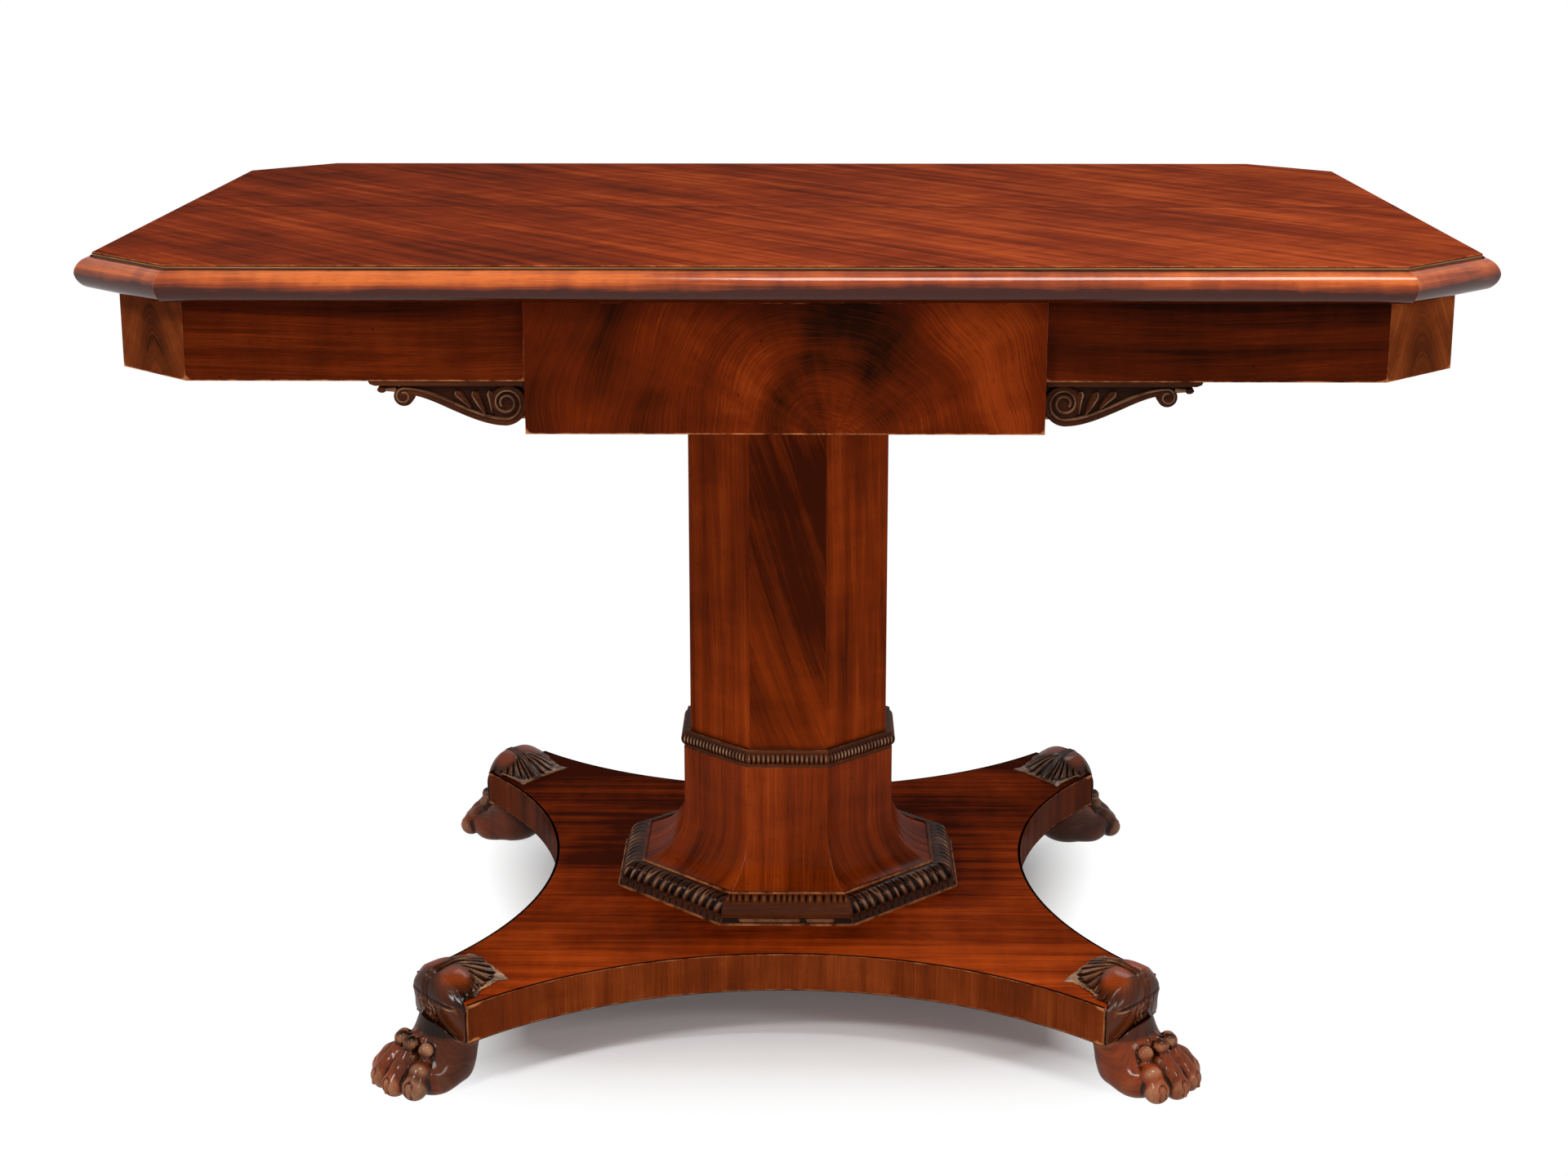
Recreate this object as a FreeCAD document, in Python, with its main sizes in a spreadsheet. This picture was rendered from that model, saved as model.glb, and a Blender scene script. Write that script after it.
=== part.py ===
import FreeCAD, Part
import math
import os
import Sketcher
from FreeCAD import Placement, Rotation, Vector

# A veneered centre table: a top with cut corners on an apron frame with one frieze drawer, carried by
# one octagonal column with a flared foot on a concave-sided platform with four carved paw feet.
# Millimetres. X runs along the top, the drawer faces -Y, Z is up and the floor is at Z = 0.

DRIVING_SIZES = [
    ("table_height", 760, "floor to the face of the top"),
    ("top_length", 1200, "over the nosing, along X"),
    ("top_depth", 850, "over the nosing, along Y"),
    ("top_thickness", 30, "face of the top to its underside"),
    ("corner_cut", 88, "leg of the cut corner, measured on the nosing"),
    ("veneer_thickness", 1.5, "sheet of the two matched leaves on the top"),
    ("nosing_step", 2.5, "how far the nosing lies below the face"),
    ("nosing_flat", 1.25, "flat of the nosing behind its round"),
    ("apron_inset", 19, "edge of the board to the face of the apron"),
    ("apron_height", 69, "depth of the plain rails"),
    ("rail_thickness", 24, "apron rails"),
    ("glue_block_leg", 24, "legs of the triangular blocks behind the rails"),
    ("glue_block_length", 70, "length of those blocks"),
    ("drawer_front_width", 431, "drawer front and its blind twin at the back"),
    ("drawer_front_drop", 43, "how far those hang below the rails"),
    ("drawer_projection", 8, "how far those stand in front of the rails"),
    ("drawer_gap", 1, "clearance beside and above the drawer front"),
    ("slide_gap", 0.3, "closed drawer to its stops, and drawer side to its runner"),
    ("drawer_length", 480, "drawer box behind its front"),
    ("drawer_side_thickness", 10, "drawer sides and back"),
    ("drawer_headroom", 3, "drawer side to the underside of the top"),
    ("drawer_bottom_thickness", 6, "bottom panel"),
    ("drawer_groove_height", 5, "lower edge of the drawer side to its groove"),
    ("drawer_groove_depth", 4, "grooves for the bottom and the back"),
    ("drawer_back_setback", 12, "end of the drawer side to the back"),
    ("drawer_back_drop", 6, "back below the top of the sides"),
    ("dovetail_length", 20, "tails of the sides into the drawer front"),
    ("bearer_thickness", 36, "cross bearers under the top"),
    ("bearer_lap", 20, "bearer behind the end of the front rail"),
    ("runner_width", 16, "drawer runners"),
    ("runner_height", 12, "drawer runners"),
    ("head_plank_thickness", 36, "plank on the column that carries the frame"),
    ("bracket_length", 130, "scroll bracket along the rail"),
    ("bracket_height", 38.5, "scroll bracket below the rail"),
    ("bracket_thickness", 18, "scroll bracket, front to back"),
    ("bracket_strip_height", 4, "flat strip along the top of the bracket"),
    ("bracket_recess", 7, "ground of the carving behind the scroll's face"),
    ("bracket_setback", 1, "scroll's face behind the face of the strip"),
    ("column_width", 195, "across the flats of the shaft"),
    ("stave_thickness", 30, "staves of the hollow shaft"),
    ("block_height", 80, "blocks that close the ends of the shaft"),
    ("block_gap", 0.2, "clearance of those blocks in the shaft"),
    ("collar_level", 226, "floor to the underside of the collar"),
    ("collar_height", 18, "carved collar"),
    ("collar_width", 207, "across the fillets of the collar"),
    ("collar_fillet", 3, "height of each fillet of the collar"),
    ("collar_bead_radius", 7, "round of the collar between its fillets"),
    ("flare_top_width", 206, "flared foot under the collar"),
    ("flare_foot_width", 299, "flared foot at its lower edge"),
    ("flare_edge_height", 23, "upright edge of the flare above the platform"),
    ("flare_radius", 165, "hollow of the flared foot"),
    ("leaf_width", 341, "across the fillet of the leaf moulding"),
    ("leaf_fillet", 6.5, "height of that fillet"),
    ("leaf_ledge", 2.5, "ledge between the fillet and the round"),
    ("leaf_round_height", 16, "height of the round of the leaf moulding"),
    ("leaf_radius", 16, "round of the leaf moulding"),
    ("leaf_lip", 4.5, "flat lip of the leaf moulding against the flare"),
    ("leaf_lip_height", 3, "height of that lip"),
    ("platform_level", 88, "floor to the face of the platform"),
    ("platform_thickness", 37, "platform"),
    ("platform_span", 722, "over the arms of the platform, along X and Y"),
    ("platform_cut", 76, "leg of the cut at the end of an arm"),
    ("bay_depth", 122, "hollow of each side of the platform"),
    ("facing_thickness", 3, "facing on the hollow sides of the platform"),
    ("knee_inner_reach", 385, "column axis to the inner edge of a knee"),
    ("knee_width", 101, "width of a knee at the end of the arm"),
    ("knee_projection", 18, "knee in front of the end of the arm"),
    ("knee_rise", 25, "crown of a knee above the platform"),
    ("knee_brow_radius", 31, "round where the crown rolls over"),
    ("knee_throat_radius", 60, "round from the brow down to the ankle"),
    ("knee_corner_radius", 26, "round of the front corners of a knee in plan"),
    ("knee_front_radius", 90, "round of the front of a knee in plan"),
    ("paw_reach", 508, "column axis to the tips of the middle toes"),
    ("paw_heel_reach", 412, "column axis to the back of the heel"),
    ("paw_width", 84, "paw behind its toes"),
    ("paw_sole", 0.6, "depth taken off the toes to stand flat"),
    ("toe_pivot_reach", 430, "column axis to the point the toes fan out from"),
    ("toe_radius", 12, "middle of a toe"),
    ("rod_radius", 8, "iron tie rod through the column"),
    ("rod_gap", 0.5, "clearance of the rod in the wood"),
    ("nut_width", 26, "across the flats of the nuts"),
    ("nut_height", 10, "nuts of the tie rod"),
    ("washer_radius", 24, "washers of the tie rod"),
    ("washer_thickness", 4, "washers of the tie rod"),
    ("washer_gap", 2, "clearance round a washer in its recess"),
    ("nut_recess", 14, "recess for a washer and a nut"),
    ("rod_end", 2, "rod beyond each nut"),
    ("screw_radius", 3, "shank of the bearer screws"),
    ("screw_head_radius", 6, "head of the bearer screws"),
    ("screw_head_height", 4, "countersunk head of the bearer screws"),
    ("screw_length", 62, "bearer screws"),
    ("screw_gap", 0.1, "clearance of the screws in their holes"),
    ("screw_edge", 47, "end of a bearer to its outer screws"),
]

FACET_SHARE = 0.38  # half of a flat facet of the column, as a share of half its width
MITRE_SLOPE = math.tan(math.pi / 8)  # half of the 45 degree turn at a cut corner
CORNER_SHRINK = 2 - math.sqrt(2)  # what a cut corner's leg loses for each unit of inset
DOVETAIL_COUNT = 2
TAIL_END_SHARE = 0.68  # wide end of a tail, as a share of the tails' pitch
TAIL_NECK_SHARE = 0.46
INNER_SCREW_SHARE = 0.4  # inner screws of a bearer, as a share of the outer ones' distance from its middle

doc = FreeCAD.newDocument("centre_table")
node_objects = []


class Size:
    """A length with the spreadsheet expression that gives it.
    Sums of sizes stay bound to the sheet."""

    def __init__(self, value, text):
        self.value = value
        self.text = text

    def __add__(self, other):
        return Size(self.value + number(other), f"({self.text} + {expression(other)})")

    def __sub__(self, other):
        return Size(self.value - number(other), f"({self.text} - {expression(other)})")

    def __mul__(self, factor):
        return Size(self.value * number(factor), f"({self.text} * {expression(factor)})")

    def __truediv__(self, divisor):
        return Size(self.value / number(divisor), f"({self.text} / {expression(divisor)})")

    def __neg__(self):
        return Size(-self.value, f"(-1 * {self.text})")


def number(size):
    return size.value if isinstance(size, Size) else float(size)


def expression(size):
    return size.text if isinstance(size, Size) else repr(float(size))


class Sheet:
    """The driving sizes, each a cell with an alias, read as Size values by name."""

    def __init__(self, rows):
        cells = doc.addObject("Spreadsheet::Sheet", "Sizes")
        for row, (alias, value, meaning) in enumerate(rows, start=1):
            cells.set(f"A{row}", alias)
            cells.set(f"B{row}", str(value))
            cells.setAlias(f"B{row}", alias)
            cells.set(f"C{row}", meaning)
        doc.recompute()
        for alias, value, meaning in rows:
            setattr(self, alias, Size(float(cells.get(alias)), f"Sizes.{alias}"))


S = Sheet(DRIVING_SIZES)


# Helpers that make one kind of object each

def bind(target, path, size):
    """Ties a property of an object to the sheet."""
    target.setExpression(path, expression(size))


def keep(item):
    """Marks an object as a piece of the table, with a file of its own."""
    node_objects.append(item)
    return item


def arc_crown(start, end, radius):
    """Middle of the arc of that radius from start to end.
    It bulges to the right of travel, or to the left if the radius is negative."""
    chord = end - start
    middle = (start + end) * 0.5
    right = Vector(chord.y, -chord.x, 0).normalize() * math.copysign(1, radius)
    depth = math.sqrt(max(0.0, radius * radius - chord.Length * chord.Length / 4))
    return middle + right * (abs(radius) - depth)


def draw(sketch, corners, arcs):
    """Draws a closed outline with its corners tied to the sheet.
    arcs gives the radius of a rounded edge by the index of its first corner."""
    points = [Vector(number(x), number(y), 0) for x, y in corners]
    count = len(points)
    for index, point in enumerate(points):
        following = points[(index + 1) % count]
        if index in arcs:
            radius = number(arcs[index])
            crown = arc_crown(point, following, radius)
            ends = (point, following) if radius > 0 else (following, point)
            sketch.addGeometry(Part.ArcOfCircle(ends[0], crown, ends[1]), False)
        else:
            sketch.addGeometry(Part.LineSegment(point, following), False)

    def end_at(edge, point):
        to_start = sketch.Geometry[edge].StartPoint.distanceToPoint(point)
        to_end = sketch.Geometry[edge].EndPoint.distanceToPoint(point)
        return 1 if to_start < to_end else 2

    for index, point in enumerate(points):
        before = (index - 1) % count
        here = end_at(index, point)
        sketch.addConstraint(Sketcher.Constraint("Coincident", before, end_at(before, point), index, here))
        for kind, axis, size in (("DistanceX", -2, corners[index][0]), ("DistanceY", -1, corners[index][1])):
            if isinstance(size, Size):
                made = sketch.addConstraint(Sketcher.Constraint(kind, -1, 1, index, here, size.value))
                sketch.renameConstraint(made, f"{kind}{index}")
                bind(sketch, f"Constraints.{kind}{index}", size)
            else:
                sketch.addConstraint(Sketcher.Constraint("PointOnObject", index, here, axis))
    for index, radius in arcs.items():
        made = sketch.addConstraint(Sketcher.Constraint("Radius", index, abs(number(radius))))
        sketch.renameConstraint(made, f"Radius{index}")
        bind(sketch, f"Constraints.Radius{index}", radius if number(radius) > 0 else -radius)


def board(label, plane, corners, start, length, arcs=None):
    """A body padded from an outline on one of its origin planes.
    The pad runs from start over length along the plane's normal."""
    body = doc.addObject("PartDesign::Body", label)
    sketch = body.newObject("Sketcher::SketchObject", f"{label}_outline")
    support = next(f for f in body.Origin.OriginFeatures if f.Role == f"{plane}_Plane")
    sketch.AttachmentSupport = [(support, "")]
    sketch.MapMode = "FlatFace"
    bind(sketch, "AttachmentOffset.Base.z", start)
    draw(sketch, corners, arcs or {})
    pad = body.newObject("PartDesign::Pad", f"{label}_pad")
    pad.Profile = sketch
    bind(pad, "Length", length)
    return body


def block(label, low, size):
    """A rectangular block from its low corner."""
    box = doc.addObject("Part::Box", label)
    for axis, corner in zip("xyz", low):
        bind(box, f"Placement.Base.{axis}", corner)
    for side, length in zip(("Length", "Width", "Height"), size):
        bind(box, side, length)
    return box


def cylinder(label, centre, radius, height):
    """An upright cylinder on the centre of its lower end."""
    round_bar = doc.addObject("Part::Cylinder", label)
    for axis, place in zip("xyz", centre):
        bind(round_bar, f"Placement.Base.{axis}", place)
    bind(round_bar, "Radius", radius)
    bind(round_bar, "Height", height)
    return round_bar


def common(label, base, tool):
    shared = doc.addObject("Part::Common", label)
    shared.Base = base
    shared.Tool = tool
    return shared


def cut(label, base, tools):
    """The base with all the tools taken out of it."""
    left = doc.addObject("Part::Cut", label)
    left.Base = base
    left.Tool = tools[0] if len(tools) == 1 else fuse(f"{label}_tools", tools)
    return left


def fuse(label, members):
    whole = doc.addObject("Part::MultiFuse", label)
    whole.Shapes = members
    return whole


def mirror(label, source, normal):
    """The source mirrored in a plane through the column's axis."""
    image = doc.addObject("Part::Mirroring", label)
    image.Source = source
    image.Normal = normal
    return image


def group(label, members):
    """Separate solids that share a node."""
    together = doc.addObject("Part::Compound", label)
    together.Links = members
    return together


ACROSS_X = Vector(1, 0, 0)
ACROSS_Y = Vector(0, 1, 0)
ACROSS_DIAGONAL = Vector(1, -1, 0)


def pair(label, other_label, source_maker, normal):
    """A piece and its mirror image, both kept."""
    first = keep(source_maker(label))
    return first, keep(mirror(other_label, first, normal))


def four_corners(name, source):
    """Keeps a front left piece and its images at the other three corners."""
    keep(source)
    front_right = keep(mirror(f"front_right_{name}", source, ACROSS_X))
    keep(mirror(f"rear_left_{name}", source, ACROSS_Y))
    keep(mirror(f"rear_right_{name}", front_right, ACROSS_Y))


def octagon(half_x, half_y, corner):
    """Corners of a rectangle with its corners cut, anticlockwise from the front edge."""
    near_x, near_y = half_x - corner, half_y - corner
    return [
        (-near_x, -half_y), (near_x, -half_y), (half_x, -near_y), (half_x, near_y),
        (near_x, half_y), (-near_x, half_y), (-half_x, near_y), (-half_x, -near_y),
    ]


def inset(outline, distance):
    """A cut rectangle, as its two half sides and its corner's leg, drawn in by a distance."""
    half_x, half_y, corner = outline
    return half_x - distance, half_y - distance, corner - distance * CORNER_SHRINK


# Levels and outlines that several pieces share

nosing_radius = (S.top_thickness - S.nosing_step) / 2
nosing_width = nosing_radius + S.nosing_flat
underside = S.table_height - S.top_thickness
rail_bottom = underside - S.apron_height
plank_bottom = rail_bottom - S.head_plank_thickness
front_bottom = rail_bottom - S.drawer_front_drop
board_outline = inset((S.top_length / 2, S.top_depth / 2, S.corner_cut), nosing_width)
apron_outline = inset(board_outline, S.apron_inset)
rail_back_outline = inset(apron_outline, S.rail_thickness)
apron_front = apron_outline[1]
rail_back = rail_back_outline[1]
opening_half = S.drawer_front_width / 2 + S.drawer_gap
bearer_outer = opening_half + S.bearer_lap
bearer_inner = bearer_outer - S.bearer_thickness
platform_bottom = S.platform_level - S.platform_thickness
shaft_half = S.column_width / 2
hollow_half = shaft_half - S.stave_thickness


# The top: a board with two matched veneer leaves and a mitred round nosing

def make_top():
    half_x, half_y, corner = board_outline
    near_x, near_y = half_x - corner, half_y - corner
    keep(board("top_core", "XY", octagon(*board_outline), underside, S.top_thickness - S.veneer_thickness))
    front_half = [(-near_x, -half_y), (near_x, -half_y), (half_x, -near_y), (half_x, 0),
                  (-half_x, 0), (-half_x, -near_y)]
    pair("front_top_veneer", "rear_top_veneer", lambda label: board(
        label, "XY", front_half, S.table_height - S.veneer_thickness, S.veneer_thickness), ACROSS_Y)

    diagonal_half = corner * math.sqrt(0.5)
    place_front = (0, -half_y, 0)
    place_left = (-half_x, 0, -90)
    place_corner = ((corner / 2) - half_x, (corner / 2) - half_y, -45)
    pair("front_edge_nosing", "rear_edge_nosing",
         lambda label: nosing_length(label, near_x, place_front), ACROSS_Y)
    pair("left_edge_nosing", "right_edge_nosing",
         lambda label: nosing_length(label, near_y, place_left), ACROSS_X)
    four_corners("corner_nosing", nosing_length("front_left_corner_nosing", diagonal_half, place_corner))


def nosing_length(label, half_length, place):
    """One mitred length of nosing.
    It is made along X with its back on Y = 0, then turned and moved to its side."""
    reach = half_length + nosing_width * MITRE_SLOPE
    profile = [
        (0, underside), (-S.nosing_flat, underside), (-nosing_width, underside + nosing_radius),
        (-S.nosing_flat, underside + nosing_radius * 2), (0, underside + nosing_radius * 2),
    ]
    bar = board(f"{label}_bar", "YZ", profile, -reach, reach * 2, {1: -nosing_radius, 2: -nosing_radius})
    plan = [(-half_length, 0), (-reach, -nosing_width), (reach, -nosing_width), (half_length, 0)]
    mitres = board(f"{label}_mitres", "XY", plan, underside, S.top_thickness)
    length = common(label, bar, mitres)
    x, y, angle = place
    length.Placement = Placement(Vector(0, 0, 0), Rotation(Vector(0, 0, 1), angle))
    bind(length, "Placement.Base.x", x)
    bind(length, "Placement.Base.y", y)
    return length


# The apron frame: mitred rails, cross bearers, drawer runners and glue blocks

def make_apron():
    half_x, half_y, corner = apron_outline
    back_x, back_y, back_corner = rail_back_outline
    near_x, near_y = half_x - corner, half_y - corner
    back_near_x, back_near_y = back_x - back_corner, back_y - back_corner
    four_corners("apron_rail", board("front_left_apron_rail", "XY", [
        (-near_x, -half_y), (-opening_half, -half_y), (-opening_half, -back_y), (-back_near_x, -back_y),
    ], rail_bottom, S.apron_height))
    four_corners("canted_rail", board("front_left_canted_rail", "XY", [
        (-half_x, -near_y), (-near_x, -half_y), (-back_near_x, -back_y), (-back_x, -back_near_y),
    ], rail_bottom, S.apron_height))
    pair("left_end_rail", "right_end_rail", lambda label: board(label, "XY", [
        (-half_x, near_y), (-half_x, -near_y), (-back_x, -back_near_y), (-back_x, back_near_y),
    ], rail_bottom, S.apron_height), ACROSS_X)

    screw_holes = screw_set("bearer_screw_hole", S.screw_gap)
    pair("left_cross_bearer", "right_cross_bearer", lambda label: cut(label, block(
        f"{label}_timber", (-bearer_outer, -rail_back, rail_bottom),
        (S.bearer_thickness, rail_back * 2, S.apron_height)), [screw_holes]), ACROSS_X)
    pair("left_drawer_runner", "right_drawer_runner", lambda label: block(
        label, (-bearer_inner, -rail_back, rail_bottom),
        (S.runner_width, rail_back * 2, S.runner_height)), ACROSS_X)
    keep(block("rear_blind_front", (-S.drawer_front_width / 2, rail_back, front_bottom),
               (S.drawer_front_width, S.rail_thickness + S.drawer_projection, underside - front_bottom)))
    make_glue_blocks()


def make_glue_blocks():
    """Triangular blocks in the angle between the rails and the top."""
    middle_x = (opening_half + S.bearer_lap + rail_back_outline[0]) / 2
    start_x = -middle_x - S.glue_block_length / 2
    low = underside - S.glue_block_leg
    front_block = board("front_glue_block", "YZ", [
        (-rail_back, low), (-rail_back + S.glue_block_leg, underside), (-rail_back, underside),
    ], start_x, S.glue_block_length)
    end_back = rail_back_outline[0]
    end_block = board("end_glue_block", "XZ", [
        (-end_back, low), (-end_back + S.glue_block_leg, underside), (-end_back, underside),
    ], -S.glue_block_length / 2, S.glue_block_length)
    right_block = mirror("front_right_glue_block", front_block, ACROSS_X)
    keep(group("rail_glue_blocks", [
        front_block, right_block, mirror("rear_left_glue_block", front_block, ACROSS_Y),
        mirror("rear_right_glue_block", right_block, ACROSS_Y),
        end_block, mirror("right_glue_block", end_block, ACROSS_X),
    ]))


# The frieze drawer: a deep front, dovetailed sides, a housed back and a grooved bottom

def make_drawer():
    half = S.drawer_front_width / 2
    face = -apron_front - S.drawer_projection
    front_back = -rail_back - S.slide_gap
    side_outer = bearer_inner - S.drawer_gap
    side_inner = side_outer - S.drawer_side_thickness
    side_low = rail_bottom + S.runner_height + S.slide_gap
    side_high = underside - S.drawer_headroom
    bottom_low = side_low + S.drawer_groove_height
    bottom_high = bottom_low + S.drawer_bottom_thickness
    box_end = front_back + S.drawer_length
    back_front = box_end - S.drawer_back_setback - S.drawer_side_thickness
    groove_half = side_inner + S.drawer_groove_depth
    bottom_front = front_back - S.drawer_groove_depth

    bottom_length = back_front + S.drawer_side_thickness - bottom_front
    bottom_size = (groove_half * 2, bottom_length, S.drawer_bottom_thickness)
    bottom = keep(block("drawer_bottom", (-groove_half, bottom_front, bottom_low), bottom_size))
    back_size = (groove_half * 2, S.drawer_side_thickness, side_high - S.drawer_back_drop - bottom_high)
    back = keep(block("drawer_back", (-groove_half, back_front, bottom_high), back_size))

    tails = [drawer_tail(index, side_outer, front_back, side_low, side_high)
             for index in range(DOVETAIL_COUNT)]
    timber = block("drawer_side_timber", (-side_outer, front_back, side_low),
                   (S.drawer_side_thickness, S.drawer_length, side_high - side_low))
    tailed = fuse("drawer_side_with_tails", [timber, *tails])
    left_side = keep(cut("drawer_left_side", tailed, [bottom, back]))
    right_side = keep(mirror("drawer_right_side", left_side, ACROSS_X))

    front_timber = block("drawer_front_timber", (-half, face, front_bottom),
                         (S.drawer_front_width, front_back - face, underside - S.drawer_gap - front_bottom))
    keep(cut("drawer_front", front_timber, [left_side, right_side, bottom]))


def drawer_tail(index, side_outer, shoulder, low, high):
    """One tail of the left drawer side, wide at its end, let into the back of the drawer front."""
    pitch = (high - low) / DOVETAIL_COUNT
    middle = low + pitch * (index + 0.5)
    end = pitch * (TAIL_END_SHARE / 2)
    neck = pitch * (TAIL_NECK_SHARE / 2)
    tip = shoulder - S.dovetail_length
    return board(f"drawer_tail_{index}", "YZ", [
        (shoulder, middle - neck), (shoulder, middle + neck), (tip, middle + end), (tip, middle - end),
    ], -side_outer, S.drawer_side_thickness)


# The column: hollow octagonal shaft, flared foot, carved collar and leaf moulding, and a tie rod inside

def facet_block(label, profile, arcs, outermost, low, high, diagonal):
    """A length of moulding or stave on one facet, mitred in planes through the column's axis.
    profile gives distance from the axis and level.
    A diagonal facet lies nearer to the axis than a flat one by the same share all the way in."""
    scale = (1 + FACET_SHARE) / math.sqrt(2) if diagonal else 1
    slope = (1 - FACET_SHARE) / (1 + FACET_SHARE) if diagonal else FACET_SHARE
    reach = outermost * scale
    half = reach * slope
    section = [(reach_in * -scale, level) for reach_in, level in profile]
    bar = board(f"{label}_bar", "YZ", section, -half, half * 2, arcs)
    wedge = board(f"{label}_wedge", "XY", [(0, 0), (-half, -reach), (half, -reach)], low, high - low)
    facet = common(label, bar, wedge)
    if diagonal:
        facet.Placement = Placement(Vector(0, 0, 0), Rotation(Vector(0, 0, 1), 45))
    return facet


def facet_ring(label, profile, arcs, outermost, low, high):
    """Eight mitred lengths round the column, in one node.
    Four lie on the flat facets and four on the diagonal ones."""
    front = facet_block(f"{label}_front", profile, arcs, outermost, low, high, False)
    right = mirror(f"{label}_right", front, Vector(1, 1, 0))
    corner = facet_block(f"{label}_front_right", profile, arcs, outermost, low, high, True)
    other_corner = mirror(f"{label}_front_left", corner, ACROSS_X)
    return keep(group(label, [
        front, mirror(f"{label}_rear", front, ACROSS_Y), right, mirror(f"{label}_left", right, ACROSS_X),
        corner, other_corner, mirror(f"{label}_rear_right", corner, ACROSS_Y),
        mirror(f"{label}_rear_left", other_corner, ACROSS_Y),
    ]))


def make_column():
    low, high = S.platform_level, plank_bottom
    facet_ring("column_staves", [
        (hollow_half, low), (shaft_half, low), (shaft_half, high), (hollow_half, high),
    ], {}, shaft_half, low, high)

    flare_foot, flare_top = S.flare_foot_width / 2, S.flare_top_width / 2
    flare_edge = low + S.flare_edge_height
    facet_ring("flared_foot_blocks", [
        (shaft_half, low), (flare_foot, low), (flare_foot, flare_edge), (flare_top, S.collar_level),
        (shaft_half, S.collar_level),
    ], {2: S.flare_radius}, flare_foot, low, S.collar_level)

    collar_face = S.collar_width / 2
    collar_top = S.collar_level + S.collar_height
    bead_low, bead_high = S.collar_level + S.collar_fillet, collar_top - S.collar_fillet
    facet_ring("collar_moulding", [
        (shaft_half, S.collar_level), (collar_face, S.collar_level), (collar_face, bead_low),
        (collar_face, bead_high), (collar_face, collar_top), (shaft_half, collar_top),
    ], {2: -S.collar_bead_radius}, collar_face + S.collar_bead_radius, S.collar_level, collar_top)

    leaf_face = S.leaf_width / 2
    fillet_top = low + S.leaf_fillet
    round_top = fillet_top + S.leaf_round_height
    leaf_top = round_top + S.leaf_lip_height
    facet_ring("leaf_moulding", [
        (flare_foot, low), (leaf_face, low), (leaf_face, fillet_top), (leaf_face - S.leaf_ledge, fillet_top),
        (flare_foot + S.leaf_lip, round_top), (flare_foot + S.leaf_lip, leaf_top), (flare_foot, leaf_top),
    ], {3: -S.leaf_radius}, leaf_face, low, leaf_top)
    make_tie_rod()


def make_tie_rod():
    """The blocks in the ends of the shaft, the plank on its head and the iron rod through them."""
    block_half = hollow_half - S.block_gap
    block_outline = octagon(block_half, block_half, block_half * (1 - FACET_SHARE))
    rod_low = platform_bottom + S.nut_recess - S.washer_thickness - S.nut_height - S.rod_end
    rod_high = rail_bottom - S.nut_recess + S.washer_thickness + S.nut_height + S.rod_end
    rod_hole = cylinder("rod_hole", (0, 0, rod_low), S.rod_radius + S.rod_gap, rod_high - rod_low)
    keep(cylinder("iron_tie_rod", (0, 0, rod_low), S.rod_radius, rod_high - rod_low))
    levels = {"column_foot_block": S.platform_level, "column_head_block": plank_bottom - S.block_height}
    for label, level in levels.items():
        timber = board(f"{label}_timber", "XY", block_outline, level, S.block_height)
        keep(cut(label, timber, [rod_hole]))

    recess_radius = S.washer_radius + S.washer_gap
    upper_seat = rail_bottom - S.nut_recess
    upper_recess = cylinder("upper_nut_recess", (0, 0, upper_seat), recess_radius, S.nut_recess)
    plank = block("head_plank_timber", (-bearer_outer, -rail_back, plank_bottom),
                  (bearer_outer * 2, rail_back * 2, S.head_plank_thickness))
    plank_holes = screw_set("plank_screw_hole", S.screw_gap)
    keep(cut("head_plank", plank, [rod_hole, upper_recess, plank_holes]))
    keep(screw_set("bearer_screws", 0))

    lower_seat = platform_bottom + S.nut_recess
    rings = []
    for name, washer_low, nut_low in (
        ("upper", upper_seat, upper_seat + S.washer_thickness),
        ("lower", lower_seat - S.washer_thickness, lower_seat - S.washer_thickness - S.nut_height),
    ):
        washer = cylinder(f"{name}_washer_blank", (0, 0, washer_low), S.washer_radius, S.washer_thickness)
        flat = S.nut_width / 2
        point = flat * (2 / math.sqrt(3))
        hexagon = [(point, 0), (point / 2, flat), (-point / 2, flat),
                   (-point, 0), (-point / 2, -flat), (point / 2, -flat)]
        nut = board(f"{name}_nut_blank", "XY", hexagon, nut_low, S.nut_height)
        rings += [cut(f"{name}_washer", washer, [rod_hole]), cut(f"{name}_nut", nut, [rod_hole])]
    keep(group("tie_rod_nuts_and_washers", rings))


def screw_set(label, gap):
    """Eight countersunk screws from the plank up into the bearers, or their holes, larger by the gap."""
    middle = bearer_outer - S.bearer_thickness / 2
    outer = rail_back - S.screw_edge
    screws = []
    for name, reach in (("outer", outer), ("inner", outer * INNER_SCREW_SHARE)):
        place = (-middle, -reach, plank_bottom)
        shank = cylinder(f"{label}_{name}_shank", place, S.screw_radius + gap, S.screw_length + gap)
        head = doc.addObject("Part::Cone", f"{label}_{name}_head")
        for axis, level in zip("xyz", place):
            bind(head, f"Placement.Base.{axis}", level)
        bind(head, "Radius1", S.screw_head_radius + gap)
        bind(head, "Radius2", S.screw_radius + gap)
        bind(head, "Height", S.screw_head_height)
        screw = fuse(f"{label}_{name}_left", [shank, head])
        right = mirror(f"{label}_{name}_right", screw, ACROSS_X)
        screws += [screw, right, mirror(f"{label}_{name}_rear_left", screw, ACROSS_Y),
                   mirror(f"{label}_{name}_rear_right", right, ACROSS_Y)]
    return group(label, screws)


# The platform: a concave-sided board with a facing on each hollow side

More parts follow.
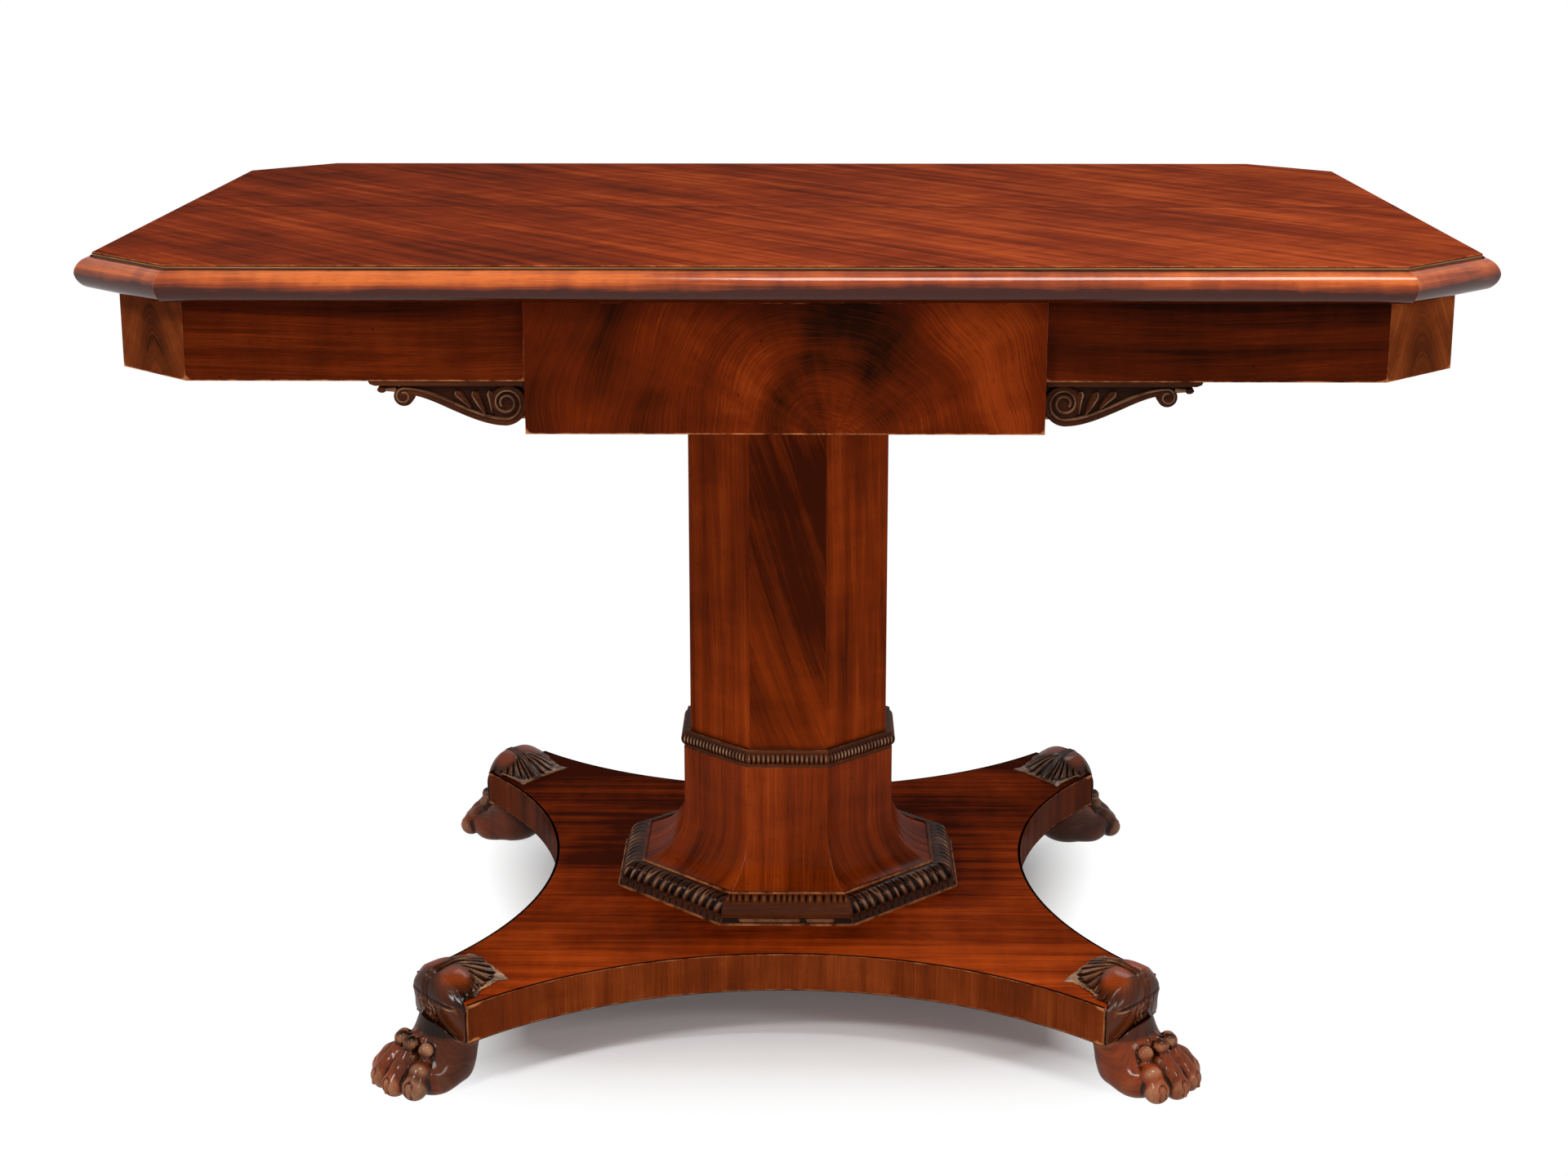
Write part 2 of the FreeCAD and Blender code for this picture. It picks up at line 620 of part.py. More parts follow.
def make_platform():
    half = S.platform_span / 2
    near = half - S.platform_cut
    bay_radius = (near * near + S.bay_depth * S.bay_depth) / (S.bay_depth * 2)
    bay_centre = half - S.bay_depth + bay_radius
    outline = octagon(half, half, S.platform_cut)
    level, thickness = platform_bottom, S.platform_thickness
    places = {"front": (0, -bay_centre, level), "rear": (0, bay_centre, level),
              "left": (-bay_centre, 0, level), "right": (bay_centre, 0, level)}
    backs = []
    for side, place in places.items():
        bay = cylinder(f"{side}_bay", place, bay_radius, thickness)
        back = cylinder(f"{side}_bay_back", place, bay_radius + S.facing_thickness, thickness)
        backs.append(back)
        ring = cut(f"{side}_facing_ring", back, [bay])
        slab = board(f"{side}_facing_slab", "XY", outline, level, thickness)
        keep(common(f"{side}_platform_facing", ring, slab))
    rod_hole = cylinder("platform_rod_hole", (0, 0, level), S.rod_radius + S.rod_gap, thickness)
    recess = cylinder("lower_nut_recess", (0, 0, level), S.washer_radius + S.washer_gap, S.nut_recess)
    slab = board("platform_slab", "XY", outline, level, thickness)
    keep(cut("platform_board", slab, [*backs, rod_hole, recess]))


# Carved pieces, made in real sizes read from the sheet: knees, paws and scroll brackets

CORNER_ANGLES = {"front_left": 225, "front_right": 315, "rear_right": 45, "rear_left": 135}


def solid_piece(label, shape, placement):
    """A carved piece with its shape set, moved to its place."""
    piece = doc.addObject("Part::Feature", label)
    piece.Shape = shape
    piece.Placement = placement
    return keep(piece)


def turned(angle):
    """A turn about the column's axis."""
    return Placement(Vector(0, 0, 0), Rotation(Vector(0, 0, 1), angle))


def extruded(edges, direction):
    return Part.Face(Part.Wire(Part.sortEdges(edges)[0])).extrude(direction)


def chain(points, arcs=None):
    """Closed edges through the points, in the plane of the first two axes.
    arcs gives the radius of a rounded edge by the index of its first point."""
    edges = []
    for index, start in enumerate(points):
        end = points[(index + 1) % len(points)]
        radius = (arcs or {}).get(index)
        if radius:
            edges.append(Part.Arc(start, arc_crown(start, end, radius), end).toShape())
        else:
            edges.append(Part.LineSegment(start, end).toShape())
    return edges


# The knee's cap as stations: share of its length, its half width, its rise at the sides and on the crown
KNEE_SHARES = [(0.0, 0.64, 0.06, 0.22), (0.3, 0.80, 0.10, 0.66), (0.6, 0.95, 0.16, 0.94),
               (0.8, 1.0, 0.2, 1.0), (1.0, 1.0, 0.2, 0.96)]
KNEE_ANKLE_SHARE = 0.42  # ankle behind the front of the knee, in brow radii
KNEE_BROW_SHARE = 0.2  # foremost point below the platform's face, in brow radii
KNEE_FRONT_SHARE = 0.5  # straight part of the knee's front in plan, in half widths


def knee_section(reach, half, low, shoulder, crown):
    """A section across the knee: straight sides under a round crown."""
    left, right = Vector(reach, -half, shoulder), Vector(reach, half, shoulder)
    left_foot, right_foot = Vector(reach, -half, low), Vector(reach, half, low)
    top = Vector(reach, 0, crown)
    return Part.Wire([
        Part.LineSegment(left, left_foot).toShape(), Part.LineSegment(left_foot, right_foot).toShape(),
        Part.LineSegment(right_foot, right).toShape(), Part.Arc(right, top, left).toShape(),
    ])


def knee_shape():
    """The carved knee that caps the end of an arm: a domed loft, met with its side outline and its plan.
    Made with the arm along X."""
    arm_end = number((S.platform_span - S.platform_cut) / math.sqrt(2))
    face, bottom, rise = number(S.platform_level), number(platform_bottom), number(S.knee_rise)
    inner, front = number(S.knee_inner_reach), arm_end + number(S.knee_projection)
    half, brow = number(S.knee_width) / 2, number(S.knee_brow_radius)
    dome = Part.makeLoft([
        knee_section(inner + along * (front - inner), half * width, bottom,
                     face + rise * side, face + rise * crown)
        for along, width, side, crown in KNEE_SHARES
    ], True)

    brow_level, crown_level = face - brow * KNEE_BROW_SHARE, face + rise
    side = chain([
        Vector(inner, face, 0), Vector(arm_end, face, 0), Vector(arm_end, bottom, 0),
        Vector(front - brow * KNEE_ANKLE_SHARE, bottom, 0), Vector(front, brow_level, 0),
        Vector(front - brow, crown_level, 0), Vector(inner, crown_level, 0),
    ], {3: number(S.knee_throat_radius), 4: brow})
    profile = extruded(side, Vector(0, 0, 2 * half))
    profile.rotate(Vector(0, 0, 0), Vector(1, 0, 0), 90)
    profile.translate(Vector(0, half, 0))

    corner, nose = number(S.knee_corner_radius), half * KNEE_FRONT_SHARE
    plan = chain([
        Vector(inner, -half, bottom), Vector(arm_end, -half, bottom), Vector(front, -nose, bottom),
        Vector(front, nose, bottom), Vector(arm_end, half, bottom), Vector(inner, half, bottom),
    ], {1: corner, 2: number(S.knee_front_radius), 3: corner})
    outline = extruded(plan, Vector(0, 0, crown_level - bottom))
    return dome.common(profile).common(outline).removeSplitter()


# A toe as stations along it: share of its length, of the paw's height, of the toe's radius
TOE_SHARES = [(0.28, 0.80, 0.70), (0.50, 0.76, 0.90), (0.70, 0.52, 0.78), (0.87, 0.27, 1.05),
              (1.0, 0.20, 0.45)]
TOE_ANGLES_AND_SHARES = [(-31, 0.93), (-10.5, 1.0), (10.5, 1.0), (31, 0.93)]
KNUCKLE_SHARES = (0.5, 0.785, 0.85)
# The paw behind its toes as stations: share of its length, its half width, its height at the top and the foot
PAW_SHARES = [(0.0, 0.40, 0.80, 0.22), (0.15, 0.80, 1.14, 0.04), (0.42, 1.0, 1.16, 0.0),
              (0.66, 0.98, 0.86, 0.0), (0.84, 0.80, 0.50, 0.02)]
SECTION_FULLNESS_SHARE = 0.78  # a circle or ellipse would have 0.707


def rounded_section(reach, half, low, high):
    """A four-arc section across the paw at one reach."""
    middle = (low + high) / 2
    rim = [Vector(reach, half, middle), Vector(reach, 0, high),
           Vector(reach, -half, middle), Vector(reach, 0, low)]
    edges = []
    for index, start in enumerate(rim):
        end = rim[(index + 1) % len(rim)]
        diagonal = Vector(reach, (start.y + end.y) * SECTION_FULLNESS_SHARE,
                          middle + (start.z + end.z - 2 * middle) * SECTION_FULLNESS_SHARE)
        edges.append(Part.Arc(start, diagonal, end).toShape())
    return Part.Wire(edges)


def paw_shape():
    """A carved paw with four toes, cut flat on the floor and under the platform.
    Made with its toes towards +X."""
    height = number(platform_bottom)
    heel, tip, pivot = number(S.paw_heel_reach), number(S.paw_reach), number(S.toe_pivot_reach)
    half, sole = number(S.paw_width) / 2, number(S.paw_sole)
    length = tip - heel
    sections = [rounded_section(heel + share * length, half * width, height * foot - sole, height * top)
                for share, width, top, foot in PAW_SHARES]
    paw = Part.makeLoft(sections, True)
    for angle, length_share in TOE_ANGLES_AND_SHARES:
        toe = toe_shape((tip - pivot) * length_share, height, number(S.toe_radius), sole)
        toe.rotate(Vector(0, 0, 0), Vector(0, 0, 1), angle)
        toe.translate(Vector(pivot, 0, 0))
        paw = paw.fuse(toe)
    floor_slab = Part.makeBox(tip, 2 * tip, height, Vector(heel - length, -tip, 0))
    return paw.common(floor_slab).removeSplitter()


def toe_shape(length, height, radius, sole):
    """One toe as a loft of rings that swells at the pad, with a round knuckle."""
    stations = [(share * length, height * rise, radius * width) for share, rise, width in TOE_SHARES]
    rings = []
    for index, (reach, level, ring_radius) in enumerate(stations):
        before = stations[max(0, index - 1)]
        after = stations[min(len(stations) - 1, index + 1)]
        along = Vector(after[0] - before[0], 0, after[1] - before[1])
        lowest = max(level, ring_radius - sole)
        rings.append(Part.Wire([Part.makeCircle(ring_radius, Vector(reach, 0, lowest), along)]))
    along, rise, width = KNUCKLE_SHARES
    knuckle = Part.makeSphere(radius * width, Vector(along * length, 0, height * rise))
    return Part.makeLoft(rings, True).fuse(knuckle)


def make_feet():
    knee, paw = knee_shape(), paw_shape()
    for corner, angle in CORNER_ANGLES.items():
        solid_piece(f"{corner}_knee", knee.copy(), turned(angle))
        solid_piece(f"{corner}_paw", paw.copy(), turned(angle))


# Places on the bracket as shares of its length and its height
VOLUTE_CENTRE_SHARES = (0.135, 0.545)
VOLUTE_RADIUS_SHARE = 0.455
CURL_CENTRE_SHARES = (0.78, 0.32)
CURL_RADIUS_SHARE = 0.20
BEAD_CENTRE_SHARES = (0.925, 0.20)
BEAD_RADIUS_SHARE = 0.095
BAND_WIDTH_SHARE = 0.16
VOLUTE_TURN_SHARES = [1.0, 0.74, 0.5, 0.28]
VOLUTE_RIDGE_SHARE = 0.2


def bracket_shape():
    """A scroll bracket in relief: an S band from a large volute to a small curl, under a flat strip.
    Made with its strip along X from the drawer outwards, hanging below Y = 0, its face towards +Z."""
    length, height = number(S.bracket_length), number(S.bracket_height)
    strip = number(S.bracket_strip_height)
    thickness = number(S.bracket_thickness)
    recess, setback = number(S.bracket_recess), number(S.bracket_setback)

    def place(shares):
        return Vector(shares[0] * length, -shares[1] * height, 0)

    volute, curl = place(VOLUTE_CENTRE_SHARES), place(CURL_CENTRE_SHARES)
    bead = place(BEAD_CENTRE_SHARES)
    volute_radius, curl_radius = VOLUTE_RADIUS_SHARE * height, CURL_RADIUS_SHARE * height
    band = BAND_WIDTH_SHARE * height
    start = volute - Vector(0, volute_radius, 0)
    finish = curl - Vector(0, curl_radius - band, 0)
    turn = (start + finish) * 0.5
    rise, run = turn.y - start.y, turn.x - start.x
    lower_radius = (rise * rise + run * run) / (2 * rise)
    up = Vector(0, band, 0)
    inner_radius, outer_radius = lower_radius - band, lower_radius + band
    scroll = chain([start, turn, finish, finish + up, turn + up, start + up],
                   {0: lower_radius, 1: -lower_radius, 3: outer_radius, 4: -inner_radius})
    ground = chain([Vector(0, 0, 0), Vector(0, volute.y, 0), start, turn, finish, Vector(finish.x, 0, 0)],
                   {1: volute_radius, 2: lower_radius, 3: -lower_radius})
    flat = Vector(0, 0, 1)
    pieces = [
        Part.makeBox(length, strip, thickness, Vector(0, -strip, 0)),
        extruded(ground, flat * (thickness - recess)),
        extruded(scroll, flat * (thickness - setback)),
        Part.makeCylinder(volute_radius, thickness - recess, volute),
        Part.makeCylinder(curl_radius, thickness - setback, curl),
        Part.makeCylinder(BEAD_RADIUS_SHARE * height, thickness - recess, bead),
        Part.makeBox(bead.x - curl.x, BEAD_RADIUS_SHARE * height, thickness - recess, curl),
    ]
    pieces += volute_ridges(volute, volute_radius, thickness - setback)
    return pieces[0].multiFuse(pieces[1:]).removeSplitter()


def volute_ridges(centre, radius, height):
    """A raised spiral of half rings, each smaller than the last and set off so that they join."""
    ridges = []
    width = VOLUTE_RIDGE_SHARE * radius
    middle = Vector(centre)
    for index in range(len(VOLUTE_TURN_SHARES) - 1):
        outer = VOLUTE_TURN_SHARES[index] * radius
        following = VOLUTE_TURN_SHARES[index + 1] * radius
        side = 1 if index % 2 == 0 else -1
        ring = Part.makeCylinder(outer, height, middle, Vector(0, 0, 1), 180)
        ring = ring.cut(Part.makeCylinder(outer - width, height, middle))
        if side < 0:
            ring.rotate(middle, Vector(0, 0, 1), 180)
        ridges.append(ring)
        middle = middle + Vector(-side * (outer - following), 0, 0)
    last = VOLUTE_TURN_SHARES[-1] * radius
    ridges.append(Part.makeCylinder(last, height, middle))
    return ridges


def make_brackets():
    """Four brackets, beside the drawer front and its blind twin.
    Those at the back are the front ones turned half round."""
    right = bracket_shape()
    left = right.mirror(Vector(0, 0, 0), ACROSS_X)
    upright = Rotation(Vector(1, 0, 0), 90)
    reach, level = number(opening_half), number(rail_bottom)
    depth = number(S.bracket_thickness - apron_front)
    on_right = Placement(Vector(reach, depth, level), upright)
    on_left = Placement(Vector(-reach, depth, level), upright)
    solid_piece("front_right_scroll_bracket", right, on_right)
    solid_piece("front_left_scroll_bracket", left, on_left)
    solid_piece("rear_left_scroll_bracket", right.copy(), turned(180) * on_right)
    solid_piece("rear_right_scroll_bracket", left.copy(), turned(180) * on_left)


def check_and_export():
    """Stops on any object that failed, then writes a file for each kept piece."""
    doc.recompute()
    failed = [item.Label for item in doc.Objects if {"Invalid", "Error"} & set(item.State)]
    bad = [item.Label for item in node_objects
           if item.Shape.isNull() or not item.Shape.isValid() or not item.Shape.Solids]
    if failed or bad:
        raise RuntimeError(f"failed objects {failed}, bad shapes {bad}")
    os.makedirs("parts", exist_ok=True)
    for item in node_objects:
        item.Shape.exportStep(f"parts/{item.Label}.step")
        print(f"{item.Label}: {len(item.Shape.Solids)} solids, {item.Shape.Volume / 1000:.1f} cm3")


make_top()
make_apron()
make_drawer()
make_column()
make_platform()
make_feet()
make_brackets()
check_and_export()
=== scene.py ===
import math
from collections import namedtuple

import bmesh
import bpy
import numpy as np
from bpy.props import FloatProperty, FloatVectorProperty, IntProperty, PointerProperty
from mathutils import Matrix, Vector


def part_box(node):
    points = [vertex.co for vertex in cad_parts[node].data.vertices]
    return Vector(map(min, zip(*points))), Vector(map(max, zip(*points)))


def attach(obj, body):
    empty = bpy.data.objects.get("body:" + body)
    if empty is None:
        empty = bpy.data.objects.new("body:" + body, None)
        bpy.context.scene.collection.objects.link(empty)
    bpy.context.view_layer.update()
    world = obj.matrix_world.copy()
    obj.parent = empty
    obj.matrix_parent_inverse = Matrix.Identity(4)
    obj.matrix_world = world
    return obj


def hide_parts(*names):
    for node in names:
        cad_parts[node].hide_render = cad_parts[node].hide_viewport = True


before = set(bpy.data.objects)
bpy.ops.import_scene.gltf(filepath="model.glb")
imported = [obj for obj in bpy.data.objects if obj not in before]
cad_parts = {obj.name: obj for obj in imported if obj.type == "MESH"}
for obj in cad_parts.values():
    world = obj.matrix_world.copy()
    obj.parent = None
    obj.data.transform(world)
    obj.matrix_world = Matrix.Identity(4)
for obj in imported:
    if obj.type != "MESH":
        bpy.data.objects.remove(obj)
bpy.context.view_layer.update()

bl_info = {
    "name": "Centre Table Dresser",
    "version": (1, 0, 0),
    "blender": (4, 5, 0),
    "location": "3D View > Sidebar > Centre Table",
    "description": "Gives the packed centre table its veneers, carving and worn polish",
    "category": "Object",
}

MM = 0.001
UP = np.array([0.0, 0.0, 1.0])
# How far a mitre between two edges of an octagon moves on for each step out, and the same for both ends
MITRE_SLOPE = math.tan(math.pi / 8)
MITRED = (MITRE_SLOPE, MITRE_SLOPE)
FACET_SHARE = 0.38
# Direction of each arm of the platform, in degrees
CORNERS = {"front_left": 225, "front_right": 315, "rear_right": 45, "rear_left": 135}


# Sizes and colours that a user would change

def length(label, description, millimetres):
    """A length property, written in millimetres."""
    return FloatProperty(name=label, description=description, default=millimetres * MM, min=0.0,
                         unit="LENGTH", precision=5)


def tone(label, colour):
    """A colour property, written as it looks on a screen from 0 to 255."""
    return FloatVectorProperty(name=label, description=f"Colour of the {label.lower()}", size=3,
                               subtype="COLOR_GAMMA", min=0.0, max=1.0,
                               default=tuple(value / 255 for value in colour))


class TableSizes(bpy.types.PropertyGroup):
    """Sizes of the worn edges and the carving."""

    arris: length("Arris", "Radius of the worn edges of the veneered boards", 0.9)
    seam: length("Seam", "Radius along the joint of the two top leaves", 0.25)
    quirk: length("Quirk", "Step between the flat and the round of the nosing", 1.3)
    bead_pitch: length("Bead pitch", "Distance between the beads of the collar", 4.7)
    bead_depth: length("Bead depth", "Depth of the cuts between those beads", 1.7)
    rib_pitch: length("Tongue pitch", "Distance between the tongues of the leaf moulding", 11.3)
    rib_depth: length("Tongue depth", "Depth of the cuts between those tongues", 2.9)
    knee_depth: length("Knee carving", "Depth of the leaf carving on the knees", 2.8)
    toe_groove: length("Toe groove", "Softness of the grooves between the toes", 2.6)
    ridge: length("Scroll ridge", "Radius of the raised line on the scroll brackets", 0.8)
    carving_rows: IntProperty(name="Carving rows", description="Grid rows of a knee or a paw",
                              default=170, min=40, max=260)


# What each wood is, and the colours of its dark parts, its body and its light parts
WOODS = {
    "top": ("Top", (70, 23, 8), (111, 39, 14), (152, 64, 25)),
    "nosing": ("Nosing", (64, 19, 2), (138, 54, 13), (190, 94, 35)),
    "apron": ("Apron", (36, 10, 2), (80, 25, 5), (122, 45, 12)),
    "crotch": ("Canted corners", (58, 23, 7), (114, 51, 19), (162, 82, 35)),
    "flame": ("Drawer front", (30, 9, 1), (100, 32, 6), (156, 62, 18)),
    "column": ("Column", (70, 22, 3), (132, 48, 8), (176, 74, 20)),
    "platform": ("Platform", (66, 19, 3), (128, 45, 9), (176, 70, 19)),
    "edge": ("Platform edge", (60, 22, 5), (108, 43, 11), (150, 70, 26)),
    "carved": ("Feet", (26, 11, 4), (86, 38, 15), (150, 62, 22)),
    "moulding": ("Carved mouldings", (18, 8, 4), (66, 31, 15), (104, 52, 26)),
    "pine": ("Pine", (122, 84, 48), (170, 128, 82), (198, 160, 112)),
}
WOOD_PARTS = ("dark", "body", "light")


class TableFinishes(bpy.types.PropertyGroup):
    """Three colours of each wood, and those of worn wood, metal and the floor."""

    __annotations__ = {
        f"{family}_{part}": tone(f"{label}, {part}", colour)
        for family, (label, *colours) in WOODS.items()
        for part, colour in zip(WOOD_PARTS, colours)
    }
    # Pale of ridges rubbed on carving: worn wood, and a painted highlight as well
    rubbed_highlight: tone("Rubbed ridges", (206, 156, 116))
    worn: tone("Worn edges", (202, 128, 80))
    iron: tone("Iron", (62, 58, 55))
    steel: tone("Screws", (128, 122, 114))
    floor: tone("Floor", (240, 240, 240))


def sizes():
    """The sizes set in the panel."""
    return bpy.context.scene.centre_table_sizes


def finishes():
    """The colours set in the panel."""
    return bpy.context.scene.centre_table_finishes


def in_mm(value):
    """A length in metres, as millimetres."""
    return value / MM


def box_mm(node):
    """Lowest and highest corner of a CAD node, in millimetres."""
    return tuple(np.array(corner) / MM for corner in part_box(node))


# Places and outlines, in millimetres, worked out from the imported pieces

def octagon(half_x, half_y, corner):
    """Corners of a rectangle with cut corners, anticlockwise from the left end of the front edge."""
    near_x, near_y = half_x - corner, half_y - corner
    return np.array([
        (-near_x, -half_y), (near_x, -half_y), (half_x, -near_y), (half_x, near_y),
        (near_x, half_y), (-near_x, half_y), (-half_x, near_y), (-half_x, -near_y),
    ])


EDGE_NAMES = ["front", "front_right", "right", "rear_right", "rear", "rear_left", "left", "front_left"]

core_low, core_high = box_mm("top_core")
field_low, field_high = box_mm("front_top_veneer")
nosing_low, nosing_high = box_mm("front_edge_nosing")
rail_low, rail_high = box_mm("front_left_apron_rail")
end_low = box_mm("left_end_rail")[0]
front_low, front_high = box_mm("drawer_front")
blind_low, blind_high = box_mm("rear_blind_front")
shaft_low, shaft_high = box_mm("column_staves")
flare_low, flare_high = box_mm("flared_foot_blocks")
collar_low, collar_high = box_mm("collar_moulding")
leaf_low, leaf_high = box_mm("leaf_moulding")
board_low, board_high = box_mm("platform_board")
facing_low, facing_high = box_mm("front_platform_facing")
bracket_low, bracket_high = box_mm("front_right_scroll_bracket")

nosing_width = core_low[1] - nosing_low[1]
top_corner = core_high[0] - (nosing_high[0] - nosing_width * MITRE_SLOPE)
top_outline = octagon(core_high[0], core_high[1], top_corner)
apron_outline = octagon(-end_low[0], -rail_low[1], -end_low[0] + rail_low[0])
rail_thickness = rail_high[1] - rail_low[1]


# Forms as arrays of points, in millimetres

# Places near an end of an edge, where it wears
END_STEPS = np.array([0.0, 0.8, 2.6])
# How worn a board is on its front rounds, on its back ones and beside the front ones
FRONT_WEAR, BACK_WEAR, BESIDE_WEAR = 1.0, 0.4, 0.62


def edge_steps(distance, spacing):
    """Places from 0 to a distance: two close to each end, where the edge wears, and even steps between."""
    count = max(2, int(round((distance - 2 * END_STEPS[-1]) / spacing)))
    middle = np.linspace(END_STEPS[-1], distance - END_STEPS[-1], count + 1)
    return np.concatenate([END_STEPS[:-1], middle, distance - END_STEPS[-2::-1]])


def rounded_rectangle(low, high, radius, spacing):
    """A rectangle with rounded corners, out by up, as a loop from its back lower corner.
    Also how worn each point is."""
    corners = [(low[0] + radius, low[1] + radius, 180), (high[0] - radius, low[1] + radius, 270),
               (high[0] - radius, high[1] - radius, 0), (low[0] + radius, high[1] - radius, 90)]
    arcs = []
    for out, up, start in corners:
        turn = np.radians(np.linspace(start, start + 90, 4))
        arcs.append(np.stack([out + radius * np.cos(turn), up + radius * np.sin(turn)], axis=-1))
    points, wear = [], []
    for index, arc in enumerate(arcs):
        following = arcs[(index + 1) % 4][0]
        run = np.linalg.norm(following - arc[-1])
        share = (edge_steps(run, spacing)[1:-1] / run)[:, None]
        points += [arc, arc[-1] + (following - arc[-1]) * share]
        flat = np.zeros(len(share))
        flat[0] = BESIDE_WEAR if index in (1, 2) else 0.0
        flat[-1] = BESIDE_WEAR if index in (0, 1) else 0.0
        wear += [np.full(len(arc), FRONT_WEAR if index in (1, 2) else BACK_WEAR), flat]
    return np.concatenate(points), np.concatenate(wear)


def arc_between(start, end, radius, count):
    """Points on the arc from start to end that bulges to the right of travel, or to the left if the radius is
    negative. Its centre lies on the line that halves the chord."""
    start, end = np.array(start, float), np.array(end, float)
    chord = end - start
    half = np.linalg.norm(chord) / 2
    right = np.array([chord[1], -chord[0]]) / (2 * half) * math.copysign(1, radius)
    centre = (start + end) / 2 - right * math.sqrt(radius * radius - half * half)
    first = math.atan2(*(start - centre)[::-1])
    last = math.atan2(*(end - centre)[::-1])
    sweep = (last - first + math.pi) % (2 * math.pi) - math.pi
    turn = first + sweep * np.linspace(0, 1, count)
    return centre + abs(radius) * np.stack([np.cos(turn), np.sin(turn)], axis=-1)


def polyline(points, spacing):
    """Points at even steps along straight runs between the given corners, ends included."""
    points = np.array(points, float)
    runs = []
    for start, end in zip(points[:-1], points[1:]):
        count = max(1, int(round(np.linalg.norm(end - start) / spacing)))
        runs.append(start + (end - start) * np.linspace(0, 1, count, endpoint=False)[:, None])
    return np.concatenate(runs + [points[-1:]])


def inset_loop(loop, distance):
    """A closed anticlockwise loop drawn in by a distance. Each point moves along the line that halves
    its corner, by the distance over the cosine of half the turn."""
    ahead = np.roll(loop, -1, axis=0) - loop
    ahead /= np.linalg.norm(ahead, axis=1, keepdims=True)
    behind = np.roll(ahead, 1, axis=0)
    inward = np.stack([-ahead[:, 1] - behind[:, 1], ahead[:, 0] + behind[:, 0]], axis=-1)
    return loop + inward * (distance * 2 / np.sum(inward * inward, axis=1, keepdims=True))


def run_length(points):
    """Distance along a row of points from its start."""
    steps = np.linalg.norm(np.diff(points, axis=0), axis=1)
    return np.concatenate([[0.0], np.cumsum(steps)])


def stacked(rows):
    """A grid of loops from rows that each give a loop in plan and its level."""
    return np.stack([np.column_stack([plan, np.full(len(plan), level)]) for plan, level in rows])


def closed(values):
    """A grid of loops, each with its first point again at its end."""
    return np.concatenate([values, values[:, :1]], axis=1)


def capped(values, poles):
    """A grid of closed loops with its first and its last loop once more, drawn to their middle if poles."""
    values = closed(values)
    ends = [values[:1], values[-1:]]
    if poles:
        ends = [np.broadcast_to(end.mean(axis=1, keepdims=True), end.shape) for end in ends]
    return np.concatenate([ends[0], values, ends[1]])


def edge_bar(start, end, loop, slopes, spacing):
    """A moulding along a straight edge in plan: its loop, out by up, is carried from start to end.
    A point that lies out by d is moved on past each end by d times that end's mitre slope.
    Gives the points, the place along the edge from its middle, and the distance from the nearer end."""
    start, end = np.array(start, float), np.array(end, float)
    run = np.linalg.norm(end - start)
    axis = (end - start) / run
    outward = np.array([axis[1], -axis[0]])
    out, up = loop[:, 0], loop[:, 1]
    share = (edge_steps(run, spacing) / run)[:, None]
    place = -slopes[0] * out + share * (run + (slopes[0] + slopes[1]) * out)
    plan = start + place[..., None] * axis + out[None, :, None] * outward
    points = np.concatenate([plan, np.broadcast_to(up[None, :, None], place.shape + (1,))], axis=-1)
    from_end = np.minimum(share, 1 - share) * run
    return points, place - run / 2, np.broadcast_to(from_end, place.shape)


def smooth(low, high, value):
    """A step from 0 to 1 that leaves and arrives level."""
    share = np.clip((value - low) / (high - low), 0, 1)
    return share * share * (3 - 2 * share)


def smooth_union(first, second, radius):
    """The nearer of two distances, with the crease between them filled to a radius."""
    share = np.clip(0.5 + 0.5 * (second - first) / radius, 0, 1)
    return second * (1 - share) + first * share - radius * share * (1 - share)


def smooth_common(first, second, radius):
    """The farther of two distances, with the edge between them eased to a radius."""
    return -smooth_union(-first, -second, radius)


def limb(points, start, end, start_radius, end_radius):
    """Distance from a round bar between two points whose radius runs evenly from one end to the other."""
    start, axis = np.array(start, float), np.subtract(end, start)
    share = np.clip((points - start) @ axis / (axis @ axis), 0, 1)
    return (np.linalg.norm(points - start - share[..., None] * axis, axis=-1)
            - start_radius - share * (end_radius - start_radius))


def egg(points, centre, radii):
    """Distance from an ellipsoid, from its scaled radius and the slope of that radius."""
    scaled = (points - np.array(centre, float)) / np.array(radii, float)
    first = np.linalg.norm(scaled, axis=-1)
    second = np.linalg.norm(scaled / np.array(radii, float), axis=-1)
    return first * (first - 1) / np.maximum(second, 1e-6)


MARCH_COUNT = 90
MARCH_STEP = 0.6


def seen_from(field, centre, directions, reach):
    """The surface of a form round a point inside it. On each direction it is where the field, a distance
    from the form, falls to nothing on the way in from outside."""
    distance = np.full(directions.shape[:2], float(reach))
    for _ in range(MARCH_COUNT):
        points = centre + distance[..., None] * directions
        distance = np.maximum(distance - MARCH_STEP * field(points), 0.05)
    return centre + distance[..., None] * directions


def relief_of(points, outward, reach):
    """How far each point stands out, in millimetres, from the mean of its neighbours some steps away."""
    around = [np.roll(points, step, axis) for axis in (0, 1) for step in (reach, -reach)]
    return np.sum((points - np.mean(around, axis=0)) * outward, axis=-1)


def turned(points, degrees):
    """Points turned about the column's axis."""
    cosine, sine = math.cos(math.radians(degrees)), math.sin(math.radians(degrees))
    turn = np.array([[cosine, -sine, 0], [sine, cosine, 0], [0, 0, 1]])
    return points @ turn.T


# From arrays to a mesh

# Points nearer than this, in millimetres, are made one
WELD = 0.002


